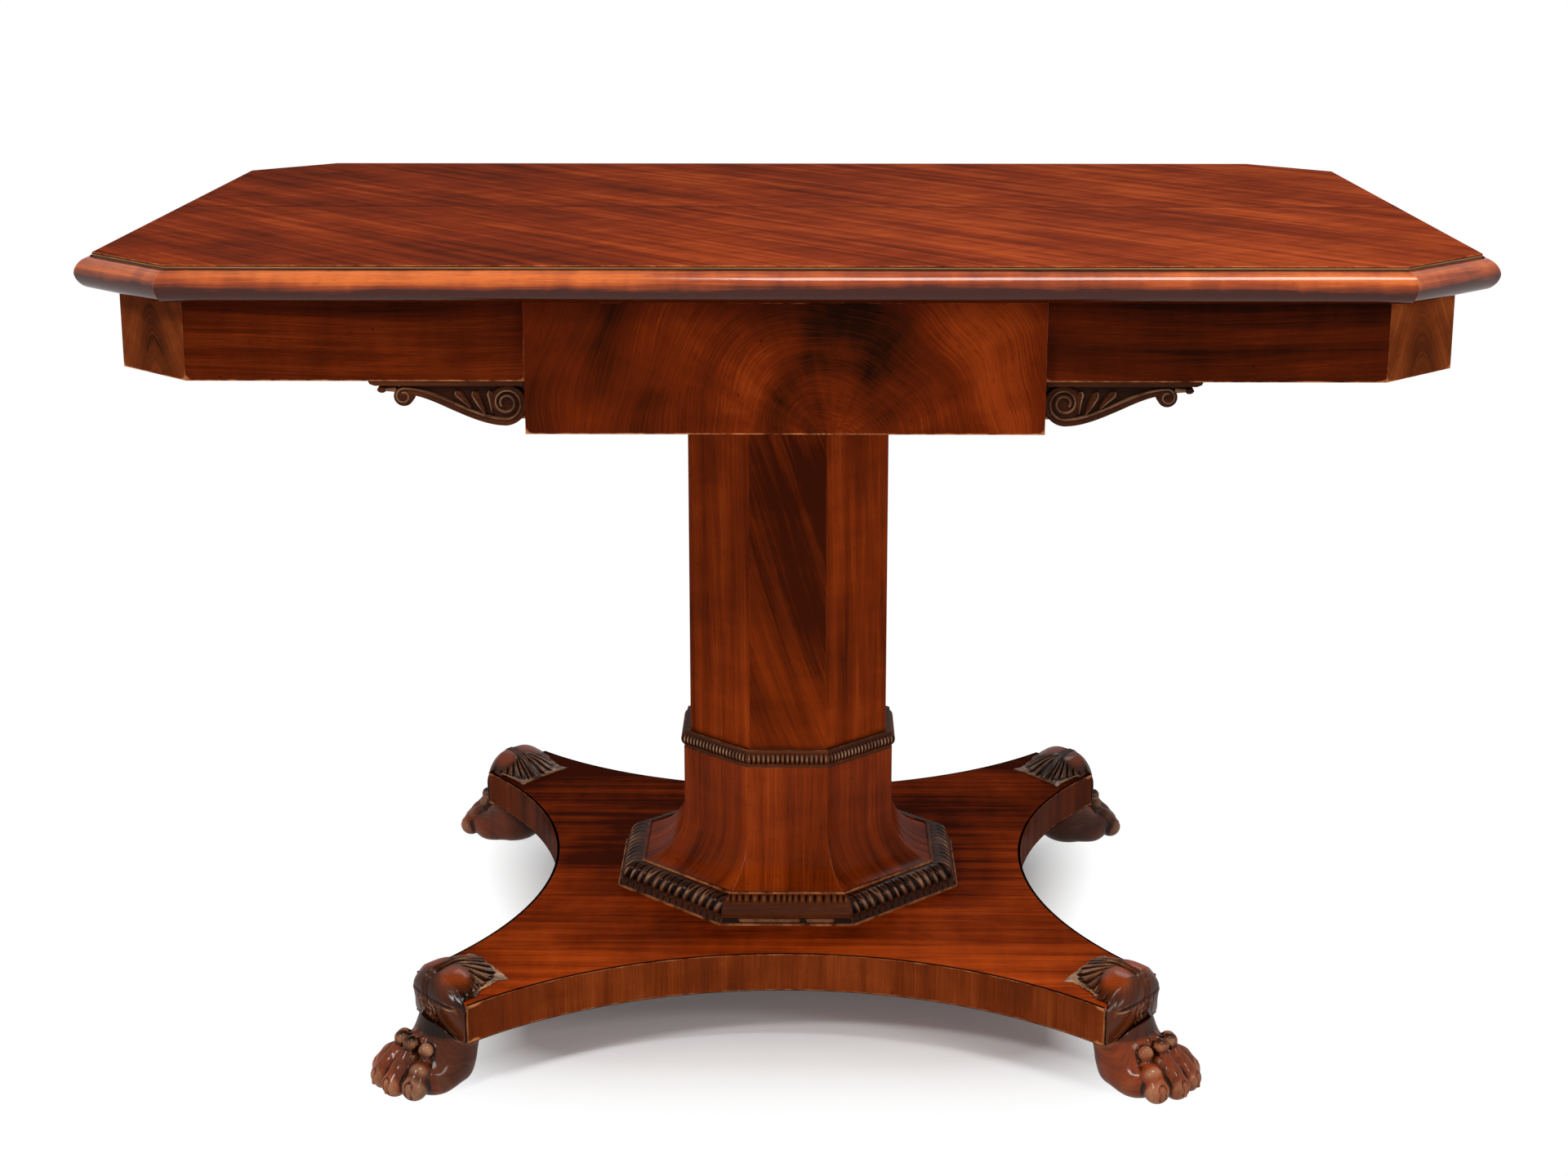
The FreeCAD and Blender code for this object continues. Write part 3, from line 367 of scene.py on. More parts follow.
class Skin:
    """Grids of points in millimetres, gathered into one mesh with its seams and poles closed.
    Each grid has its grain map, along and across the fibres in metres, and per point how worn it is,
    how far it stands out of the carving, and how much lighter or darker the wood is there, painted light
    and shade among it."""

    def __init__(self):
        self.points, self.faces, self.grain = [], [], []
        self.values = {"wear": [], "relief": [], "shade": []}
        self.count = 0

    def add(self, points, along, across, wear=0.0, relief=0.0, shade=0.0):
        """Adds a grid, rows by columns. along and across are in millimetres."""
        shape = points.shape[:2]
        index = self.count + np.arange(shape[0] * shape[1]).reshape(shape)
        quads = [index[:-1, :-1], index[:-1, 1:], index[1:, 1:], index[1:, :-1]]
        self.faces.append(np.stack(quads, axis=-1).reshape(-1, 4))
        self.points.append(points.reshape(-1, 3) * MM)
        grain = np.stack([np.broadcast_to(value, shape) for value in (along, across)], axis=-1)
        self.grain.append(grain.reshape(-1, 2) * MM)
        for name, value in (("wear", wear), ("relief", relief), ("shade", shade)):
            self.values[name].append(np.broadcast_to(value, shape).ravel())
        self.count += index.size

    def add_bar(self, points, along, across, wear, shade):
        """Adds a grid of loops, one to a row, closed round each loop and at both ends."""
        along, across, wear, shade = (capped(np.broadcast_to(value, points.shape[:2]), False)
                                      for value in (along, across, wear, shade))
        self.add(capped(points, True), along, across, wear=wear, shade=shade)

    def piece(self, name, material, nodes, body="table", crease=32):
        """Makes the mesh and its object, closes it, turns its faces outwards and puts it on its body."""
        faces = np.concatenate(self.faces)
        mesh = bpy.data.meshes.new(name)
        mesh.from_pydata(np.concatenate(self.points).tolist(), [], faces.tolist())
        grain = mesh.uv_layers.new(name="grain")
        grain.data.foreach_set("uv", np.concatenate(self.grain)[faces.ravel()].ravel().astype(np.float32))
        for label, values in self.values.items():
            attribute = mesh.attributes.new(label, "FLOAT", "POINT")
            attribute.data.foreach_set("value", np.concatenate(values).astype(np.float32))
        closing = bmesh.new()
        closing.from_mesh(mesh)
        bmesh.ops.remove_doubles(closing, verts=closing.verts, dist=WELD * MM)
        bmesh.ops.recalc_face_normals(closing, faces=closing.faces)
        closing.to_mesh(mesh)
        closing.free()
        mesh.polygons.foreach_set("use_smooth", np.ones(len(mesh.polygons), bool))
        mesh.set_sharp_from_angle(angle=math.radians(crease))
        mesh.materials.append(material)
        item = bpy.data.objects.new(name, mesh)
        bpy.context.scene.collection.objects.link(item)
        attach(item, body)
        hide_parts(*nodes)


# Materials

def linear(colour):
    """A screen colour as the light it stands for, with full opacity."""
    values = [c / 12.92 if c <= 0.04045 else ((c + 0.055) / 1.055) ** 2.4 for c in colour]
    return (*values, 1.0)


class Graph:
    """The nodes of one material, added and linked in order."""

    def __init__(self, tree):
        self.nodes, self.links = tree.nodes, tree.links
        self.nodes.clear()

    def add(self, kind, inputs=None, output=0, **settings):
        """Adds a node, sets or links its inputs and gives one of its outputs."""
        node = self.nodes.new(kind)
        for key, value in settings.items():
            setattr(node, key, value)
        for socket, value in (inputs or {}).items():
            if isinstance(value, bpy.types.NodeSocket):
                self.links.new(value, node.inputs[socket])
            else:
                node.inputs[socket].default_value = value
        return node.outputs[output] if node.outputs else node

    def math(self, operation, first, second=0.0):
        """What an operation makes of two values."""
        return self.add("ShaderNodeMath", {0: first, 1: second}, operation=operation)

    def span(self, value, low, high, to_low=0.0, to_high=1.0):
        """A value from one range to another, held at both ends."""
        return self.add("ShaderNodeMapRange", {0: value, 1: low, 2: high, 3: to_low, 4: to_high})

    def mix(self, factor, first, second, blend="MIX"):
        """Two colours mixed by a factor."""
        return self.add("ShaderNodeMix", {0: factor, 6: first, 7: second}, output=2,
                        data_type="RGBA", blend_type=blend)

    def noise(self, place, stretch, detail, roughness=0.55, distortion=0.0):
        """Noise with its own number of cells per metre along, across and through."""
        scaled = self.add("ShaderNodeVectorMath", {0: place, 1: stretch}, operation="MULTIPLY")
        return self.add("ShaderNodeTexNoise", {
            "Vector": scaled, "Scale": 1.0, "Detail": detail, "Roughness": roughness,
            "Distortion": distortion})

    def attribute(self, name):
        """A number that the mesh has at each point."""
        return self.add("ShaderNodeAttribute", output=2, attribute_name=name)

    def ramp(self, factor, stops):
        """The colour that a factor picks between stops."""
        node = self.nodes.new("ShaderNodeValToRGB")
        self.links.new(factor, node.inputs[0])
        while len(node.color_ramp.elements) < len(stops):
            node.color_ramp.elements.new(0.5)
        for element, (place, colour) in zip(node.color_ramp.elements, stops):
            element.position = place
            element.color = colour
        return node.outputs[0]

    def seen_rays(self):
        """1 for rays from the camera, in reflections and through glass, and 0 for other light."""
        rays = self.nodes.new("ShaderNodeLightPath")
        seen = self.math("MAXIMUM", rays.outputs["Is Camera Ray"], rays.outputs["Is Glossy Ray"])
        return self.math("MAXIMUM", seen, rays.outputs["Is Transmission Ray"])


# How a wood is figured: cells per metre along and across for its streaks, how strong the streaks,
# the fibres, the broad clouds and the cross mottle are
Figure = namedtuple("Figure", "along across streak fibre cloud mottle")
# How it is polished: roughness of the wood, strength and roughness of the polish over it
Polish = namedtuple("Polish", "rough coat coat_rough")
# Cells per metre of the other noises, along, across and through the fibres
FIBRE_CELLS, CLOUD_CELLS, MOTTLE_CELLS = (14.0, 620.0, 620.0), (3.2, 8.0, 8.0), (38.0, 16.0, 16.0)
PORE_CELLS, BREAK_CELLS, SPECK_CELLS = (120.0, 1500.0, 1500.0), (60.0, 60.0, 60.0), (46.0, 62.0, 62.0)
PORE_STRENGTH, SPECK_STRENGTH = 0.45, 0.8
# Relief from which a ridge is rubbed pale, as wear and as painted highlight, and at which it is fully so;
# the same for wax in a hollow
RUBBED_HIGHLIGHT_RELIEF, WAXED_RELIEF, WAX_STRENGTH = (0.18, 0.9), (-0.08, -0.7), 0.92
# Wear from which bare wood shows, and at which it shows most
BARE_WEAR, BARE_STRENGTH = (0.86, 1.12), 0.85


def new_material(name):
    """A material with no nodes yet, and its graph."""
    material = bpy.data.materials.new(name)
    material.use_nodes = True
    return material, Graph(material.node_tree)


def wood(name, family, figure, polish, rubbing_highlight=0.0, turn=None):
    """Figured wood under polish. Streaks, fibres, clouds and mottle are noises stretched along the grain
    and added up to one tone, which picks the colour; without a turn the tone starts from the piece's shade,
    painted light and shade among it. Pores and specks darken it and worn edges show bare wood. Carved wood
    has dark wax in its hollows and ridges rubbed pale, as wear and as painted highlight. With a turn in
    degrees about the vertical, the grain runs by the object's own axes instead of the piece's grain map."""
    colours = finishes()
    dark, body, light = (linear(getattr(colours, f"{family}_{part}")) for part in WOOD_PARTS)
    material, graph = new_material(name)
    if turn is None:
        grain = graph.add("ShaderNodeUVMap", uv_map="grain")
        tone_sum = graph.math("ADD", 0.5, graph.attribute("shade"))
    else:
        place = graph.add("ShaderNodeTexCoord", output=3)
        rotation = (0.0, 0.0, math.radians(-turn))
        grain = graph.add("ShaderNodeMapping", {"Vector": place, "Rotation": rotation})
        tone_sum = 0.5
    streaks = graph.noise(grain, (figure.along, figure.across, figure.across), 5.0, 0.6, 0.4)
    fibres = graph.noise(grain, FIBRE_CELLS, 3.0, 0.6)
    clouds = graph.noise(grain, CLOUD_CELLS, 2.0)
    mottle = graph.noise(grain, MOTTLE_CELLS, 2.0)
    strengths = (figure.streak, figure.fibre, figure.cloud, figure.mottle)
    for noise, strength in zip((streaks, fibres, clouds, mottle), strengths):
        centred = graph.math("SUBTRACT", noise, 0.5)
        tone_sum = graph.math("ADD", tone_sum, graph.math("MULTIPLY", centred, strength))
    colour = graph.ramp(tone_sum, [(0.08, dark), (0.5, body), (0.92, light)])
    pores = graph.span(graph.noise(grain, PORE_CELLS, 1.0), 0.6, 0.72)
    colour = graph.mix(graph.math("MULTIPLY", pores, PORE_STRENGTH), colour, dark)
    breaks = graph.noise(grain, BREAK_CELLS, 4.0, 0.65)
    spread = graph.add("ShaderNodeVectorMath", {0: grain, 1: SPECK_CELLS}, operation="MULTIPLY")
    specks = graph.span(graph.add("ShaderNodeTexVoronoi", {"Vector": spread, "Scale": 1.0}), 0.075, 0.035)
    specks = graph.math("MULTIPLY", specks, graph.span(breaks, 0.5, 0.56))
    colour = graph.mix(graph.math("MULTIPLY", specks, SPECK_STRENGTH), colour, dark)
    if rubbing_highlight:
        relief = graph.attribute("relief")
        patches = graph.span(breaks, 0.36, 0.62, rubbing_highlight * 0.2, rubbing_highlight)
        # Ridges rubbed pale, as wear and as painted highlight
        rubbed_highlight = graph.math("MULTIPLY", graph.span(relief, *RUBBED_HIGHLIGHT_RELIEF), patches)
        colour = graph.mix(rubbed_highlight, colour, linear(colours.rubbed_highlight))
        colour = graph.mix(graph.span(relief, *WAXED_RELIEF, 0.0, WAX_STRENGTH), colour, dark)
    if turn is None:
        rub = graph.math("ADD", graph.attribute("wear"), graph.math("SUBTRACT", breaks, 0.5))
        bare = graph.span(rub, *BARE_WEAR, 0.0, BARE_STRENGTH)
        colour = graph.mix(bare, colour, linear(colours.worn))
    roughness = graph.span(clouds, 0.35, 0.65, polish.rough - 0.06, polish.rough + 0.08)
    height = graph.math("SUBTRACT", graph.math("MULTIPLY", fibres, 0.5), pores)
    bump = graph.add("ShaderNodeBump", {"Height": height, "Strength": 0.16, "Distance": 0.0004})
    shader = graph.add("ShaderNodeBsdfPrincipled", {
        "Base Color": colour, "Roughness": roughness, "Specular IOR Level": 0.0, "Normal": bump,
        "Coat Weight": polish.coat, "Coat Roughness": polish.coat_rough})
    graph.add("ShaderNodeOutputMaterial", {"Surface": shader})
    return material


def metal(name, colour, rough):
    """Dull worked metal: two noises mottle its colour and its roughness, and a finer one pits it."""
    material, graph = new_material(name)
    place = graph.add("ShaderNodeTexCoord", output=3)
    blotch = graph.noise(place, (60.0, 60.0, 60.0), 4.0, 0.6)
    pits = graph.noise(place, (420.0, 420.0, 420.0), 3.0, 0.6)
    tint = linear(colour)
    rust = (tint[0] * 1.1, tint[1] * 0.62, tint[2] * 0.4, 1.0)
    shade = graph.mix(graph.span(blotch, 0.45, 0.7), tint, rust)
    roughness = graph.span(blotch, 0.3, 0.7, rough - 0.1, rough + 0.15)
    bump = graph.add("ShaderNodeBump", {"Height": pits, "Strength": 0.3, "Distance": 0.0006})
    shader = graph.add("ShaderNodeBsdfPrincipled", {
        "Base Color": shade, "Roughness": roughness, "Metallic": 0.85, "Normal": bump})
    graph.add("ShaderNodeOutputMaterial", {"Surface": shader})
    return material


def finish_nodes(material, *nodes):
    """Gives CAD nodes that stay in view their material."""
    for node in nodes:
        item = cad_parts[node]
        item.data.materials.clear()
        item.data.materials.append(material)


# The top and its nosing

TOP_GRAIN_DEGREES = -52
# How far the front leaf's grain is shifted from the rear one's
LEAF_SHIFT = 640.0
# Half the width of the dark line along the joint of the leaves, and how dark it is
SEAM_HALF, SEAM_SHADE = 1.3, 0.9
# Power of the nosing's round: 2 is a half circle, and less flattens its shoulders
NOSING_POWER = 1.75


def slab(loop, low, high, radius):
    """A flat board: the closed loop is drawn in along a rounded edge above and below and then to a point.
    Gives the points and how worn they are, most on the upper edge."""
    turn = np.radians(np.linspace(0, 90, 4))
    insets = radius * (1 - np.cos(turn))
    upper = [(inset, high - radius + radius * math.sin(angle)) for inset, angle in zip(insets, turn)]
    lower = [(inset, low + radius - radius * math.sin(angle)) for inset, angle in zip(insets, turn)]
    flats = [(radius + 0.8, high), (radius + 3.0, high)]
    rows = [(radius + 3.0, low), (radius + 0.8, low)] + lower[::-1] + upper + flats
    wear = [0.0, 0.0] + [0.3] * len(lower) + [1.0] * len(upper) + [0.0, 0.0]
    grid = stacked([(inset_loop(loop, inset), level) for inset, level in rows])
    worn = np.broadcast_to(np.array(wear)[:, None], grid.shape[:2])
    return capped(grid, True), capped(worn, False)


class DressTop(bpy.types.Operator):
    """Lays the two leaves of diagonal veneer on the top"""

    bl_idname = "centre_table.dress_top"
    bl_label = "Top Veneers"

    def execute(self, context):
        material = wood("polished_top_veneer", "top", Figure(2.6, 62, 1.4, 0.65, 1.1, 0.5),
                        Polish(0.42, 0.02, 0.25))
        half_x, near_x = top_outline[2][0], top_outline[1][0]
        half_y, near_y = top_outline[4][1], top_outline[3][1]
        rear_half = [(half_x, 0), (half_x, near_y), (near_x, half_y), (-near_x, half_y), (-half_x, near_y),
                     (-half_x, 0), (half_x, 0)]
        loop = polyline(rear_half, 40.0)[:-1]
        rear_leaf, worn = slab(loop, field_low[2], field_high[2], in_mm(sizes().seam))
        turn = math.radians(TOP_GRAIN_DEGREES)
        for name, degrees, shift in (("rear_top_veneer", 0, 0.0), ("front_top_veneer", 180, LEAF_SHIFT)):
            leaf = turned(rear_leaf, degrees)
            x, y = leaf[..., 0], leaf[..., 1]
            along = x * math.cos(turn) + y * math.sin(turn) + shift
            across = y * math.cos(turn) - x * math.sin(turn) + shift * 1.3
            wear = np.where(np.abs(y) < 1.0, 0.0, worn)
            # Painted light across each leaf: lighter to the right under a painted sheen, darker to the left;
            # the joint is dark
            shade = 0.12 * x / half_x - np.where(np.abs(y) < SEAM_HALF, SEAM_SHADE, 0.0)
            skin = Skin()
            skin.add(leaf, along, across, wear=wear, shade=shade)
            skin.piece(f"{name}_leaf", material, [name])
        return {"FINISHED"}


class DressNosing(bpy.types.Operator):
    """Runs the mitred round nosing round the top"""

    bl_idname = "centre_table.dress_nosing"
    bl_label = "Edge Nosing"

    def execute(self, context):
        material = wood("polished_nosing", "nosing", Figure(4.0, 95, 1.2, 0.6, 1.5, 0.7),
                        Polish(0.36, 0.6, 0.1))
        low, high, step = nosing_low[2], nosing_high[2], in_mm(sizes().quirk)
        radius = (high - low - step) / 2
        flat = nosing_width - radius
        turn = np.linspace(-math.pi / 2, math.pi / 2, 26)
        # The round: the cosine and the sine of a half turn, each raised to the same power
        swell = 2 / NOSING_POWER
        rounding = np.column_stack([flat + radius * np.abs(np.cos(turn)) ** swell,
                                    low + radius + radius * np.sign(turn) * np.abs(np.sin(turn)) ** swell])
        fillet = [(flat - 1.4, high - step), (flat - 1.6, high - 0.3), (flat - 2.1, high), (1.4, high),
                  (0.0, high)]
        loop = np.concatenate([[(0.0, low)], rounding, fillet])
        # The upper arris of the flat is worn pale, and that pale line is also a painted highlight
        arris = np.where((loop[:, 1] > high - 0.5) & (loop[:, 0] > 2.0), 0.98, 0.0)
        # Painted light round the nosing: a painted highlight on the upper round, painted shade on its
        # underside
        painted_crown_highlight = 0.2 * np.exp(-((turn - 0.8) / 0.45) ** 2)
        painted_underside_shade = 0.8 * smooth(0.5, -0.7, turn)
        # The quirk at the foot of the step is painted dark as shade; the inner edges against the field and
        # core are dark
        shade = np.concatenate([[-0.3], painted_crown_highlight - painted_underside_shade, [-0.7, 0.0, 0.0, 0.0, -0.7]])
        for index, edge in enumerate(EDGE_NAMES):
            start, end = top_outline[index], top_outline[(index + 1) % 8]
            points, along, from_end = edge_bar(start, end, loop, MITRED, 14.0)
            ripple = 0.16 * np.sin(along / 37.0 + index) * np.sin(along / 13.0)
            outward = points[..., :2] / np.linalg.norm(points[..., :2], axis=-1, keepdims=True)
            points[..., :2] -= outward * (np.abs(ripple) * (loop[:, 0] > flat))[..., None]
            wear = np.maximum(np.where(from_end < 0.5, 1.05, 0.0), arris)
            skin = Skin()
            skin.add_bar(points, along + 900.0 * index, run_length(loop), wear, shade)
            kind = "edge" if index % 2 == 0 else "corner"
            skin.piece(f"{edge}_nosing_length", material, [f"{edge}_{kind}_nosing"])
        return {"FINISHED"}


# The apron and the drawer front

# How far from a lower corner of a board its veneer is chipped
CHIP_REACH = 16.0


def boarded(name, node, start, end, depth, levels, slopes, material, figure, seed, body="table"):
    """A veneered board along an edge: a rounded rectangle carried from start to end, with mitred or square
    ends. figure gives the grain and the shade from the place along the board and the level."""
    low, high = zip(depth, levels)
    loop, worn = rounded_rectangle(low, high, in_mm(sizes().arris), 5.0)
    points, place, from_end = edge_bar(start, end, loop, slopes, 6.0)
    along, across, shade = figure(place, points[..., 2], seed)
    end_wear = 1.0 if min(slopes) == 0 else 0.8
    wear = np.maximum(worn, np.where(from_end < 0.5, end_wear, 0.0))
    wear = np.maximum(wear, 1.05 * smooth(CHIP_REACH, 1.0, from_end + points[..., 2] - levels[0]))
    skin = Skin()
    skin.add_bar(points, along, across, wear, shade)
    skin.piece(name, material, [node], body)


def straight_figure(place, level, seed):
    """Fibres along the board, with a slow wave, and painted shade towards the top, under the overhang of the
    top.
    """
    wave = 3.0 * np.sin(place / 70.0 + seed)
    # Painted shade on the upper part of the board, under the top's overhang
    shade = 0.09 * math.sin(2.5 * seed) - 0.12 * smooth(690, 730, level)
    return place + 431.0 * seed, level + wave + 173.0 * seed, shade


def crotch_figure(place, level, seed):
    """Fibres that fall away on both sides of the board's middle, in the shape of a roof."""
    side = np.sqrt(place ** 2 + 150.0) + 5.0 * np.sin(place / 17.0 + level / 31.0 + seed)
    across = (level + 1.7 * side) * 0.5
    feather = -0.30 * np.exp(-((side - 0.30 * (rail_high[2] - level)) / 13.0) ** 2)
    return (1.7 * level - side) * 0.5 + 391.0 * seed, across + 67.0 * seed, feather + 0.08


FLAME_GRAIN = Figure(3.0, 24, 0.65, 0.5, 1.3, 0.4)
# Where the flame starts, right of the middle and below the board, and its arch's half width and height
FLAME_CENTRE, FLAME_DROP = 38.0, 8.0
ARCH_HALF, ARCH_RISE = 48.0, 84.0


def flame_figure(place, level, seed):
    """Fibres on rings round a point under the board's lower edge: the distance from it is across, the turn is
    along. A dark arch stands over the point, darkest at its crown and on its left, and a dark streak leans at
    the far left."""
    side = place - FLAME_CENTRE
    height = level - front_low[2]
    rise = height + FLAME_DROP
    turn = np.arctan2(side, rise)
    ring = np.hypot(side, 0.92 * rise) + 4.0 * np.sin(turn * 2.6 + seed)
    ring = ring + 4.0 * np.sin(place / 41.0 + level / 29.0) + 2.0 * np.sin(place / 17.0 - level / 14.0)
    arch = np.hypot(side / ARCH_HALF, rise / ARCH_RISE)
    feather = -0.17 * np.exp(-((arch - 1) / 0.24) ** 2) * smooth(90, -20, side)
    crown = -0.20 * np.exp(-(side / 75.0) ** 2) * smooth(30, 100, height)
    streak = -0.20 * np.exp(-((place + 166.0 - 0.24 * height) / 20.0) ** 2) * smooth(0, 70, height)
    sides = 0.18 * smooth(80, 160, place) - 0.07 - 0.08 * smooth(-50, -140, place)
    return turn * 130.0 + 500.0 * seed, ring + 210.0 * seed, feather + crown + streak + sides


class DressApron(bpy.types.Operator):
    """Veneers the rails, the canted corners, the ends and the blind front"""

    bl_idname = "centre_table.dress_apron"
    bl_label = "Apron"

    def execute(self, context):
        polish = Polish(0.42, 0.03, 0.2)
        rails = wood("polished_apron_veneer", "apron", Figure(3.4, 74, 1.3, 0.5, 0.9, 0.3), polish)
        canted = wood("polished_crotch_veneer", "crotch", Figure(5.0, 34, 0.8, 0.6, 1.0, 0.5), polish)
        flame = wood("polished_blind_flame", "flame", FLAME_GRAIN, polish)
        depth, levels = (-rail_thickness, 0.0), (rail_low[2], rail_high[2])
        edges = list(zip(EDGE_NAMES, apron_outline, np.roll(apron_outline, -1, axis=0)))
        for index, hands in ((0, ("left", "right")), (4, ("right", "left"))):
            side, start, end = edges[index]
            middle, axis = (start + end) / 2, (end - start) / np.linalg.norm(end - start)
            opening = -rail_high[0] * axis
            halves = [(start, middle - opening, (MITRE_SLOPE, 0)), (middle + opening, end, (0, MITRE_SLOPE))]
            for half, hand in enumerate(hands):
                first, last, slopes = halves[half]
                boarded(f"{side}_{hand}_rail_board", f"{side}_{hand}_apron_rail", first, last, depth, levels,
                        slopes, rails, straight_figure, 1 + index + half)
        for index in (1, 3, 5, 7):
            side, start, end = edges[index]
            boarded(f"{side}_canted_board", f"{side}_canted_rail", start, end, depth, levels, MITRED,
                    canted, crotch_figure, index)
        for index in (2, 6):
            side, start, end = edges[index]
            boarded(f"{side}_end_board", f"{side}_end_rail", start, end, depth, levels, MITRED,
                    rails, straight_figure, index)
        low, high = blind_low, blind_high
        boarded("rear_blind_front_board", "rear_blind_front", (high[0], high[1]), (low[0], high[1]),
                (low[1] - high[1], 0.0), (low[2], high[2]), (0, 0), flame, flame_figure, 3)
        return {"FINISHED"}


class DressDrawer(bpy.types.Operator):
    """Veneers the drawer front with flame figure and finishes the drawer box"""

    bl_idname = "centre_table.dress_drawer"
    bl_label = "Drawer"

    def execute(self, context):
        flame = wood("polished_flame_veneer", "flame", FLAME_GRAIN, Polish(0.4, 0.04, 0.2))
        low, high = front_low, front_high
        boarded("drawer_front_board", "drawer_front", (low[0], low[1]), (high[0], low[1]),
                (low[1] - high[1], 0.0), (low[2], high[2]), (0, 0), flame, flame_figure, 1,
                body="drawer")
        bare = Polish(0.62, 0.0, 0.3)
        sides = wood("drawer_side_pine", "pine", Figure(3.0, 60, 0.9, 0.4, 0.5, 0.1), bare, turn=90)
        bottom = wood("drawer_bottom_pine", "pine", Figure(3.0, 45, 0.9, 0.4, 0.5, 0.1), bare, turn=0)
        finish_nodes(sides, "drawer_left_side", "drawer_right_side")
        finish_nodes(bottom, "drawer_bottom", "drawer_back")
        return {"FINISHED"}


# The column with its collar, its flare and the leaf moulding

def facet_shares(facet):
    """How far out a facet lies and half its width, as shares of the column's half width. Facets with an even
    number are flat ones; the others close the corners between them."""
    if facet % 2:
        return (1 + FACET_SHARE) / math.sqrt(2), (1 - FACET_SHARE) / math.sqrt(2)
    return 1.0, FACET_SHARE


def facet_grid(profile, columns, facet, arris):
    """One of eight facets round the column. profile gives half widths and levels. Near its ends the facet
    rolls in along the corner's own direction by the square of the nearness.
    Gives the points, the place across the facet and the outward direction."""
    half, level = profile[:, 0][:, None], profile[:, 1][:, None]
    reach, width = facet_shares(facet)
    angle = math.radians(-90 + 45 * facet)
    outward = np.array([math.cos(angle), math.sin(angle), 0.0])
    sideways = np.array([-math.sin(angle), math.cos(angle), 0.0])
    place = half * width * columns[None, :]
    corner = outward * reach + sideways * width * np.sign(columns)[:, None]
    corner /= np.linalg.norm(corner, axis=-1, keepdims=True)
    near = np.clip(1 - (half * width - np.abs(place)) / (3 * arris), 0, 1) ** 2
    points = ((half * reach)[..., None] * outward + place[..., None] * sideways + level[..., None] * UP
              - (arris * 0.5 * near)[..., None] * corner[None])
    return points, place, outward


def facet_columns(count):
    """Places across a facet from -1 to 1, close together at both ends."""
    inner = np.linspace(-0.97, 0.97, count)
    return np.concatenate([[-1.0, -0.985], inner, [0.985, 1.0]])


def facet_wear(columns, strength):
    """Wear at both ends of a facet, where it meets the next."""
    return np.where(np.abs(columns) > 0.99, strength, 0.0)


def closed_profile(points):
    """A profile with its first point again at its end, and the distance along it."""
    loop = np.concatenate([points, points[:1]])
    return loop, run_length(loop)


COLUMN_FIGURE = Figure(3.0, 66, 1.15, 0.5, 0.95, 0.35)
STAVE_THICKNESS = 30.0
# The flare: half its width at the top, its upright edge above the platform, and the upper end and the radius
# of its hollow
FLARE_TOP, FLARE_EDGE, FLARE_BEND, FLARE_HOLLOW = 104.0, 23.0, 162.0, 50.0


class DressColumn(bpy.types.Operator):
    """Veneers the eight facets of the shaft and of its flared foot"""

    bl_idname = "centre_table.dress_column"
    bl_label = "Column"

    def execute(self, context):
        self.make_shaft(wood("polished_column_veneer", "column", COLUMN_FIGURE, Polish(0.4, 0.04, 0.2)))
        self.make_flare(wood("polished_flare_veneer", "column", COLUMN_FIGURE, Polish(0.4, 0.09, 0.24)))
        return {"FINISHED"}

    def make_shaft(self, material):
        """The section of a stave, from the face in by its thickness, on each of eight facets. The grain of
        the front facet leans."""
        half, low, high = shaft_high[0], shaft_low[2], shaft_high[2]
        inner = half - STAVE_THICKNESS
        loop = polyline([(half, low), (half, high), (inner, high), (inner, low)], 14.0)
        profile, run = closed_profile(loop)
        columns = facet_columns(10)
        skin = Skin()
        for facet in range(8):
            points, place, _ = facet_grid(profile, columns, facet, in_mm(sizes().arris))
            run_up = np.broadcast_to(run[:, None], place.shape)
            front = facet == 0
            lean = 0.42 * run_up + 14.0 * np.sin(run_up / 110.0) if front else 0.02 * run_up
            shade = -0.22 + 0.12 * np.sin(run_up / 75.0) if front else 0.06 * np.cos(facet * 2.1)
            skin.add(points, run_up + 613.0 * facet, place + lean + 211.0 * facet,
                     wear=facet_wear(columns, 0.82), shade=shade)
        skin.piece("column_shaft", material, ["column_staves"])

    def make_flare(self, material):
        """On each of eight facets an upright edge, a hollow arc and an upright neck under the collar."""
        inner, foot, low, high = shaft_high[0], flare_high[0], flare_low[2], flare_high[2]
        curve = arc_between((foot, low + FLARE_EDGE), (FLARE_TOP, FLARE_BEND), -FLARE_HOLLOW, 34)
        upright = polyline([(FLARE_TOP, FLARE_BEND), (FLARE_TOP, high)], 8.0)
        loop = np.concatenate([[(inner, low), (foot, low)], curve, upright[1:], [(inner, high)]])
        profile, run = closed_profile(loop)
        columns = facet_columns(12)
        skin = Skin()
        for facet in range(8):
            points, place, _ = facet_grid(profile, columns, facet, in_mm(sizes().arris))
            lowness = smooth(165, 125, points[..., 2])
            wear = facet_wear(columns, 1.0) * (0.55 + 0.6 * lowness)
            shade = -0.10 * lowness + 0.05 * np.cos(facet * 1.7)
            skin.add(points, run[:, None] + 311.0 * facet, place * 0.9 + 157.0 * facet,
                     wear=wear, shade=shade)
        skin.piece("flared_foot", material, ["flared_foot_blocks"])


